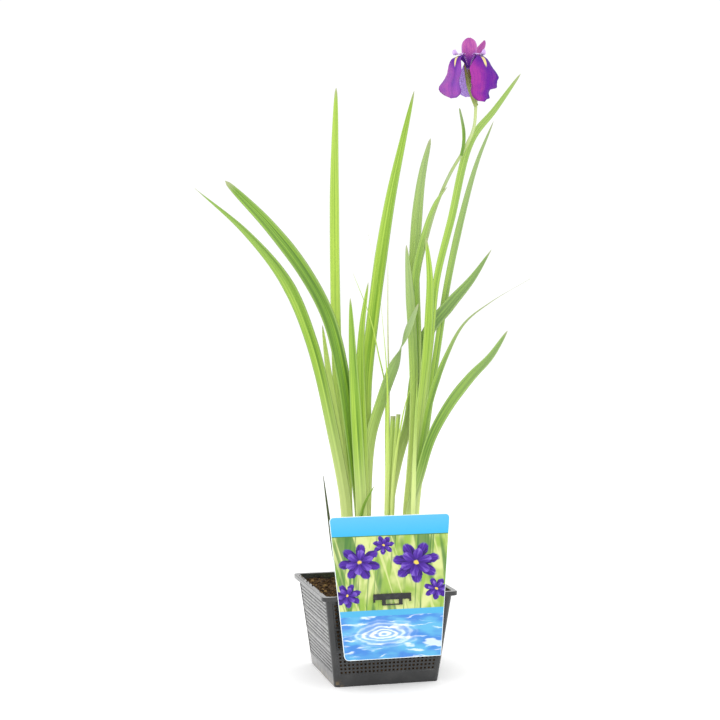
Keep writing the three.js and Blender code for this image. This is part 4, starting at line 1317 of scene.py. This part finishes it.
def add_bevel(piece, width, angle=SHARP):
    """A live rounding of a piece's sharp edges, the same in every view."""
    bevel = piece.modifiers.new("Rounded edges", "BEVEL")
    bevel.width = width
    bevel.segments = EDGE_STEPS
    bevel.limit_method = "ANGLE"
    bevel.angle_limit = angle


def mould(piece, width):
    """Rounded edges, and smooth shading that stops at the sharp ones."""
    add_bevel(piece, width)
    piece.data.shade_smooth()
    piece.data.set_sharp_from_angle(angle=SHARP)


def wall_half(up):
    """Half the basket's width across the outside of its walls at a height, in millimetres."""
    return BASE_HALF + WALL_SLOPE * up


def basket_ring(shape, half, corner, up, panel):
    """One level of the basket's surface: a round corner and the two ends of the mesh on each side."""
    middle = half - corner
    flat = []
    for step in range(CORNER_STEPS + 1):
        angle = step / CORNER_STEPS * math.pi / 2
        flat.append(Vector((middle + corner * math.cos(angle), middle + corner * math.sin(angle), up)))
    flat += [Vector((panel, half, up)), Vector((-panel, half, up))]
    turns = [Matrix.Rotation(quarter * math.pi / 2, 3, "Z") for quarter in range(4)]
    return [shape.verts.new(turn @ point * MM) for turn in turns for point in flat]


def basket_rings(shape, post):
    """The levels of the basket up its outside, over its rim, and up its inside."""
    def wall_ring(up, inward=0):
        corner = BASE_CORNER + (WALL_TOP_CORNER - BASE_CORNER) / WALL_TOP * up
        return basket_ring(shape, wall_half(up) - inward, corner - inward, up, wall_half(up) - post)

    edges = [up for low, high, rows in PANELS for up in (low, high)]
    under = HEIGHT - RIM_THICKNESS
    lip_inside = (RIM_HALF - RIM_THICKNESS, RIM_CORNER - RIM_THICKNESS)
    rim = [
        (wall_half(under), WALL_TOP_CORNER, under),
        (*lip_inside, under),
        (*lip_inside, LIP_FOOT),
        (RIM_HALF, RIM_CORNER, LIP_FOOT),
        (RIM_HALF, RIM_CORNER, HEIGHT),
        (wall_half(HEIGHT) - WALL_THICKNESS, WALL_TOP_CORNER - WALL_THICKNESS, HEIGHT),
    ]
    return (
        [wall_ring(up) for up in (0, *edges)],
        [basket_ring(shape, *level, wall_half(under) - post) for level in rim],
        [wall_ring(up, WALL_THICKNESS) for up in (FLOOR, *edges)],
    )


def basket_walls(sizes):
    """The basket's frame: posts, ribs, rim and floor round open windows for the mesh."""
    shape = bmesh.new()
    outside, rim, inside = basket_rings(shape, sizes.post / MM)
    window_foots = range(1, len(outside), 2)
    window_edges = range(CORNER_STEPS + 1, len(outside[0]), CORNER_STEPS + 3)
    levels = outside + rim + inside[::-1]
    for k, (low, high) in enumerate(zip(levels, levels[1:])):
        is_open = min(k, len(levels) - 2 - k) in window_foots
        strip(shape, low, high, gaps=window_edges if is_open else ())
    for foot in window_foots:
        for j in window_edges:
            corners = ((foot, j), (foot, j + 1), (foot + 1, j + 1), (foot + 1, j))
            strip(shape, *([side[level][at] for level, at in corners] for side in (outside, inside)))
    shape.faces.new(outside[0])
    shape.faces.new(inside[0])
    bmesh.ops.recalc_face_normals(shape, faces=shape.faces)
    return shape


class IRIS_OT_basket(bpy.types.Operator):
    """Builds the basket's frame and the mesh bands of its walls"""

    bl_idname = "iris.basket"
    bl_label = "Basket"

    def execute(self, context):
        sizes = context.scene.iris_basket
        plastic = basket_plastic(sizes)
        walls = from_bmesh("basket_walls", basket_walls(sizes), plastic)
        mould(walls, sizes.edge)
        place_piece(walls, "basket", "basket")
        tree = mesh_panel_tree()
        for band, (low, high, rows) in enumerate(PANELS, 1):
            values = {
                "Columns": sizes.columns, "Rows": rows, "Bar share": sizes.bar_share, "Low": low * MM,
                "High": high * MM, "Post": sizes.post, "Sink": sizes.sink, "Lap": sizes.lap,
                "Thickness": sizes.mesh_thickness,
            }
            carrier = bpy.data.meshes.new("mesh_carrier")
            place_piece(grown(f"basket_mesh_{band}", carrier, tree, plastic, values), "basket")
        return {"FINISHED"}


def soil_top(x, y):
    """Height of the compost's lumpy top in millimetres; it is level where the fans stand."""
    flat = Matrix.Rotation(-PLANT_TURN, 2) @ Vector((x, y))
    reach = math.hypot(
        (flat.x - CROWN["across"]) / CROWN["half_width"], (flat.y - CROWN["away"]) / CROWN["half_depth"]
    )
    part = min(1, max(0, (reach - 1) / (CROWN["fade"] - 1)))
    outer = part * part * (3 - 2 * part)
    broad = math.sin(x / LUMP_PITCH + LUMP_PHASE) * math.sin(2 * y / LUMP_PITCH)
    narrow = math.sin((3 * x + y) / LUMP_PITCH)
    return SOIL_LEVEL + LUMP_HEIGHT / 2 * (broad + narrow) * outer


def soil_block():
    """The closed block of compost, with a fine grid on its top."""
    shape = bmesh.new()

    def point(cell, level):
        half = wall_half(level) - WALL_THICKNESS - SOIL_GAP
        x, y = (half * (2 * k / SOIL_CELLS - 1) for k in cell)
        over = max(0, abs(x) + abs(y) - (2 * half - SOIL_CORNER_CUT)) / 2
        x -= math.copysign(over, x)
        y -= math.copysign(over, y)
        height = soil_top(x, y) if level == SOIL_LEVEL else level
        return shape.verts.new(Vector((x, y, height)) * MM)

    last = SOIL_CELLS
    border = [(k, 0) for k in range(last)] + [(last, k) for k in range(last)]
    border += [(k, last) for k in range(last, 0, -1)] + [(0, k) for k in range(last, 0, -1)]
    top = {(i, j): point((i, j), SOIL_LEVEL) for i in range(last + 1) for j in range(last + 1)}
    bottom = {cell: point(cell, SOIL_BOTTOM) for cell in border}
    for i in range(last):
        for j in range(last):
            shape.faces.new((top[i, j], top[i + 1, j], top[i + 1, j + 1], top[i, j + 1]))
    for here, there in zip(border, border[1:] + border[:1]):
        shape.faces.new((top[here], bottom[here], bottom[there], top[there]))
    shape.faces.new([bottom[cell] for cell in reversed(border)])
    return shape


class IRIS_OT_compost(bpy.types.Operator):
    """Builds the compost with its crumbs"""

    bl_idname = "iris.compost"
    bl_label = "Compost"

    def execute(self, context):
        sizes = context.scene.iris_soil
        carrier = bpy.data.meshes.new("soil_carrier")
        shape = soil_block()
        shape.to_mesh(carrier)
        shape.free()
        values = {
            "Unevenness": sizes.roughness, "Crumbs": sizes.crumbs, "Clods": sizes.clods,
            "Crumb": sizes.crumb, "Clod": sizes.clod, "Spilt": sizes.spilt,
            "Rim middle": Vector(RIM_LEFT) * MM,
        }
        place_piece(grown("soil_compost", carrier, crumb_tree(), compost(sizes), values), "soil", "soil")
        return {"FINISHED"}


def round_corner(before, here, after, radius):
    """Points of one rounded corner of an outline, as a quadratic curve."""
    start, end = (here + (other - here).normalized() * radius for other in (before, after))
    steps = [step / CORNER_POINTS for step in range(CORNER_POINTS + 1)]
    return [start.lerp(here, t).lerp(here.lerp(end, t), t) for t in steps]


def card_outline(inset):
    """The card's outline in card millimetres, moved in by an inset."""
    bottom = CARD["bottom_half"] - inset
    top = CARD["top_half"] - inset
    low = CARD["bottom"] + inset
    high = CARD["top"] - inset
    corners = [
        (Vector((-bottom, low)), CARD["corner"]), (Vector((bottom, low)), CARD["sharp_corner"]),
        (Vector((top, high)), CARD["corner"]), (Vector((-top, high)), CARD["corner"]),
    ]
    outline = []
    for k, (here, radius) in enumerate(corners):
        reach = max(radius - inset, CARD["sharp_corner"] / 2)
        outline += round_corner(corners[k - 1][0], here, corners[(k + 1) % 4][0], reach)
    return outline


def card_shape(margin, thickness):
    """The card as a closed sheet with a slot, its front the print inside a pale margin."""
    shape = bmesh.new()
    left, low, right, high = SLOT
    outlines = {
        "edge": card_outline(0), "print": card_outline(margin),
        "slot": ((left, low), (right, low), (right, high), (left, high)),
    }
    front, back = (
        {name: [shape.verts.new((*point, height)) for point in points] for name, points in outlines.items()}
        for height in (thickness / 2, -thickness / 2)
    )
    for side, material in ((front, 0), (back, 1)):
        strip(shape, side["edge"], side["print"], 1)
        rims = []
        for ring in (side["print"], side["slot"]):
            pairs = zip(ring, ring[1:] + ring[:1])
            rims += [shape.edges.get(pair) or shape.edges.new(pair) for pair in pairs]
        for face in bmesh.ops.triangle_fill(shape, use_beauty=True, edges=rims)["geom"]:
            if isinstance(face, bmesh.types.BMFace):
                face.material_index = material
    for name in ("edge", "slot"):
        strip(shape, front[name], back[name], 1)
    bmesh.ops.recalc_face_normals(shape, faces=shape.faces)
    place = Matrix.Translation(CARD_PLACE) @ Matrix.Rotation(math.pi / 2 - CARD_LEAN, 4, "X")
    bmesh.ops.transform(shape, matrix=Matrix.Scale(MM, 4) @ place, verts=shape.verts)
    return shape


class IRIS_OT_label(bpy.types.Operator):
    """Builds the picture label"""

    bl_idname = "iris.label"
    bl_label = "Label"

    def execute(self, context):
        sizes = context.scene.iris_label
        shape = card_shape(sizes.margin / MM, sizes.thickness / MM)
        card = from_bmesh("label_card", shape, label_print(sizes), card_back(sizes))
        add_bevel(card, sizes.thickness / 6, CARD_EDGE)
        place_piece(card, "label_card", "label")
        return {"FINISHED"}


class IRIS_OT_clip(bpy.types.Operator):
    """Builds the label's clip from the frame's own"""

    bl_idname = "iris.clip"
    bl_label = "Label clip"

    def execute(self, context):
        shape = bmesh.new()
        shape.from_mesh(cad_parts["label_clip"].data)
        bmesh.ops.remove_doubles(shape, verts=shape.verts, dist=ROUND_ERROR)
        bmesh.ops.dissolve_limit(shape, angle_limit=FLAT, verts=shape.verts, edges=shape.edges)
        piece = from_bmesh("label_clip_plastic", shape, clip_plastic(context.scene.iris_label))
        mould(piece, CLIP_EDGE * MM)
        place_piece(piece, "clip", "label_clip")
        return {"FINISHED"}


def blade(name, shape, tree, material, sizes, slot, seed, blunt=NARROWEST, wander=None):
    """One leaf-shaped piece in place of the CAD node whose name it is given."""
    foot, tip = shape.get("turn", (30, 30))
    start, end = shape.get("twist", (0, 1))
    values = {
        "Width": shape["width"] * MM, "Thickness": shape.get("thickness", BLADE_THICKNESS) * MM,
        "Foot turn": math.radians(foot), "Tip turn": math.radians(tip), "Twist start": start,
        "Twist end": end, "Taper": shape.get("taper", 0.5),
        "Sharpness": shape.get("sharpness", sizes.tip_sharpness), "Blunt": blunt,
        "Wander": sizes.wander if wander is None else wander, "Wave": sizes.wave,
        "Seed": seed * BLADE_SEEDS, "Rings": sizes.rings, "Sides": sizes.sides, "Plant turn": PLANT_TURN,
    }
    for trait, usual in LEAF_TRAITS.items():
        values[trait] = shape.get(trait, usual)
    piece = grown(f"{name}_blade", spine_mesh(name, shape["spine"]), tree, material, values)
    place_piece(piece, slot, name)


class IRIS_OT_leaves(bpy.types.Operator):
    """Builds the sword leaves of the fans and the stubs of cut ones"""

    bl_idname = "iris.leaves"
    bl_label = "Leaves"

    def execute(self, context):
        sizes = context.scene.iris_leaf
        tree = blade_tree()
        green = leaf_green(sizes)
        for seed, (name, leaf) in enumerate({**LEAVES, **STUBS}.items()):
            blade(name, leaf, tree, green, sizes, "leaf", seed, blunt=1.0 if name in STUBS else NARROWEST)
        return {"FINISHED"}


class IRIS_OT_grasses(bpy.types.Operator):
    """Builds the thin dry blades and grasses"""

    bl_idname = "iris.grasses"
    bl_label = "Grasses"

    def execute(self, context):
        sizes = context.scene.iris_leaf
        tree = blade_tree()
        straw = dry_straw(sizes)
        green = leaf_green(sizes)
        for seed, (name, grass) in enumerate(GRASSES.items()):
            shape = {**grass, "thickness": GRASS_THICKNESS}
            material, slot = (green, "leaf") if name in FRESH else (straw, "dry_blade")
            blade(name, shape, tree, material, sizes, slot, seed, wander=0.0)
        return {"FINISHED"}


class IRIS_OT_stem(bpy.types.Operator):
    """Builds the flower stem, its small leaf, and the sheath and ovary under the flower"""

    bl_idname = "iris.stem"
    bl_label = "Stem"

    def execute(self, context):
        sizes = context.scene.iris_leaf
        blades = blade_tree()
        stalks = stalk_tree()
        green = stem_green(sizes)
        olive = sheath_olive(sizes)
        for name, spine, (foot, tip), finish in (
            ("flower_stem", STEM_SPINE, STEM_RADII, green),
            ("ovary", OVARY_SPINE, OVARY_RADII, olive),
        ):
            values = {"Foot radius": foot * MM, "Tip radius": tip * MM, "Plant turn": PLANT_TURN}
            stalk = grown(f"{name}_stalk", spine_mesh(name, spine), stalks, finish, values)
            place_piece(stalk, "stem", name)
        blade("stem_bract", BRACT, blades, leaf_green(sizes), sizes, "leaf", 1, wander=0.0)
        blade("spathe", SPATHE, blades, olive, sizes, "stem", 2, wander=0.0)
        return {"FINISHED"}


def petal(kind, index, shape, turn, tree, finishes, sizes):
    """One petal of a kind, in place of the CAD node of its name."""
    form = PETALS[kind]
    left_blush_and_shade, right_blush_and_shade = shape.get("blush", (0.5, 0.5))
    values = {
        "Rows": sizes.rows, "Columns": sizes.columns, "Thickness": sizes.thickness, "Flower": FLOWER * MM,
        "Plant turn": PLANT_TURN, "Turn": math.radians(turn), "Cup": form["cup"], "Waves": form["waves"],
        "Ruffle": sizes.ruffle * form["ruffle"], "Crinkle": sizes.crinkle * form["crinkle"],
        "Frill": form["frill"], "Groove": form["groove"] * MM, "Seed": index * form["seed"],
        "Phase": index * form["phase"], "Blush left": left_blush_and_shade, "Blush right": right_blush_and_shade,
        "Pallor": shape.get("pallor", 0),
    }
    name = f"{kind}_{index}"
    carrier = petal_mesh(name, shape["profile"], shape["widths"])
    place_piece(grown(f"{name}_petal", carrier, tree, finishes[kind], values), kind, name)


class IRIS_OT_flower(bpy.types.Operator):
    """Builds the flower's falls, standards and style arms"""

    bl_idname = "iris.flower"
    bl_label = "Flower"

    def execute(self, context):
        sizes = context.scene.iris_flower
        tree = petal_tree()
        finishes = {
            "fall": fall_purple(sizes), "standard": standard_pink(sizes), "style_arm": style_lilac(sizes),
        }
        for index, fall in enumerate(FALLS, 1):
            petal("fall", index, fall, fall["turn"], tree, finishes, sizes)
            petal("style_arm", index, STYLE, fall["turn"], tree, finishes, sizes)
        for index, standard in enumerate(STANDARDS, 1):
            petal("standard", index, standard, standard["turn"], tree, finishes, sizes)
        return {"FINISHED"}


def area_light(name, place, target, side, watts):
    """A square soft light at a place, turned to a target."""
    lamp = bpy.data.lights.new(name, "AREA")
    lamp.size = side
    lamp.energy = watts
    obj = link(name, lamp)
    obj.location = place
    obj.rotation_euler = (Vector(target) - Vector(place)).to_track_quat("-Z", "Y").to_euler()


class IRIS_OT_stage(bpy.types.Operator):
    """Builds the pale floor, the soft lights and the camera"""

    bl_idname = "iris.stage"
    bl_label = "Stage"

    def execute(self, context):
        scene = context.scene
        sizes = scene.iris_stage
        shape = bmesh.new()
        bmesh.ops.create_grid(shape, x_segments=1, y_segments=1, size=FLOOR_HALF)
        bmesh.ops.translate(shape, vec=(0, 0, -FLOOR_DROP), verts=shape.verts)
        m = MaterialBuilder("pale_floor", roughness=0.9, emission_color=WHITE, emission_strength=sizes.glow)
        pale = m.surface(m.layers(sizes.floor, (m.noise(m.place(), 3.0, 2.0), sizes.shaded)))
        from_bmesh("floor", shape, pale)
        world = bpy.data.worlds.new("Even white")
        world.use_nodes = True
        background = world.node_tree.nodes["Background"].inputs
        background["Color"].default_value = WHITE
        background["Strength"].default_value = sizes.world
        scene.world = world
        for name, (place, target, side) in LIGHTS.items():
            area_light(name.capitalize(), place, target, side, getattr(sizes, name))
        camera = bpy.data.cameras.new("Camera")
        camera.lens = sizes.lens
        camera.sensor_width = SENSOR
        view = link("Camera", camera)
        view.location = CAMERA_PLACE
        view.rotation_euler = (math.pi / 2 - CAMERA_DIP, 0, PLANT_TURN)
        scene.camera = view
        scene.view_settings.view_transform = "Standard"
        return {"FINISHED"}


OPERATORS = (
    IRIS_OT_stage, IRIS_OT_basket, IRIS_OT_compost, IRIS_OT_label, IRIS_OT_clip, IRIS_OT_leaves,
    IRIS_OT_grasses, IRIS_OT_stem, IRIS_OT_flower,
)
SETTINGS = {
    "iris_basket": BasketSettings, "iris_soil": SoilSettings, "iris_label": LabelSettings,
    "iris_leaf": LeafSettings, "iris_flower": FlowerSettings, "iris_stage": StageSettings,
}


class IRIS_PT_panel(bpy.types.Panel):
    """Lists the operators and the settings in the sidebar"""

    bl_idname = "IRIS_PT_panel"
    bl_label = "Potted iris"
    bl_space_type = "VIEW_3D"
    bl_region_type = "UI"
    bl_category = "Iris"

    def draw(self, context):
        for operator in OPERATORS:
            self.layout.operator(operator.bl_idname)
        for key, settings in SETTINGS.items():
            box = self.layout.box()
            box.label(text=settings.__name__)
            for name in settings.__annotations__:
                box.prop(getattr(context.scene, key), name)


def register():
    for settings in SETTINGS.values():
        bpy.utils.register_class(settings)
    for key, settings in SETTINGS.items():
        setattr(bpy.types.Scene, key, PointerProperty(type=settings))
    for item in (*OPERATORS, IRIS_PT_panel):
        bpy.utils.register_class(item)


def unregister():
    for item in (IRIS_PT_panel, *reversed(OPERATORS)):
        bpy.utils.unregister_class(item)
    for key in SETTINGS:
        delattr(bpy.types.Scene, key)
    for settings in SETTINGS.values():
        bpy.utils.unregister_class(settings)


def main():
    register()
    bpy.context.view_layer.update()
    for operator in OPERATORS:
        family, action = operator.bl_idname.split(".")
        getattr(getattr(bpy.ops, family), action)()


if __name__ == "__main__":
    main()
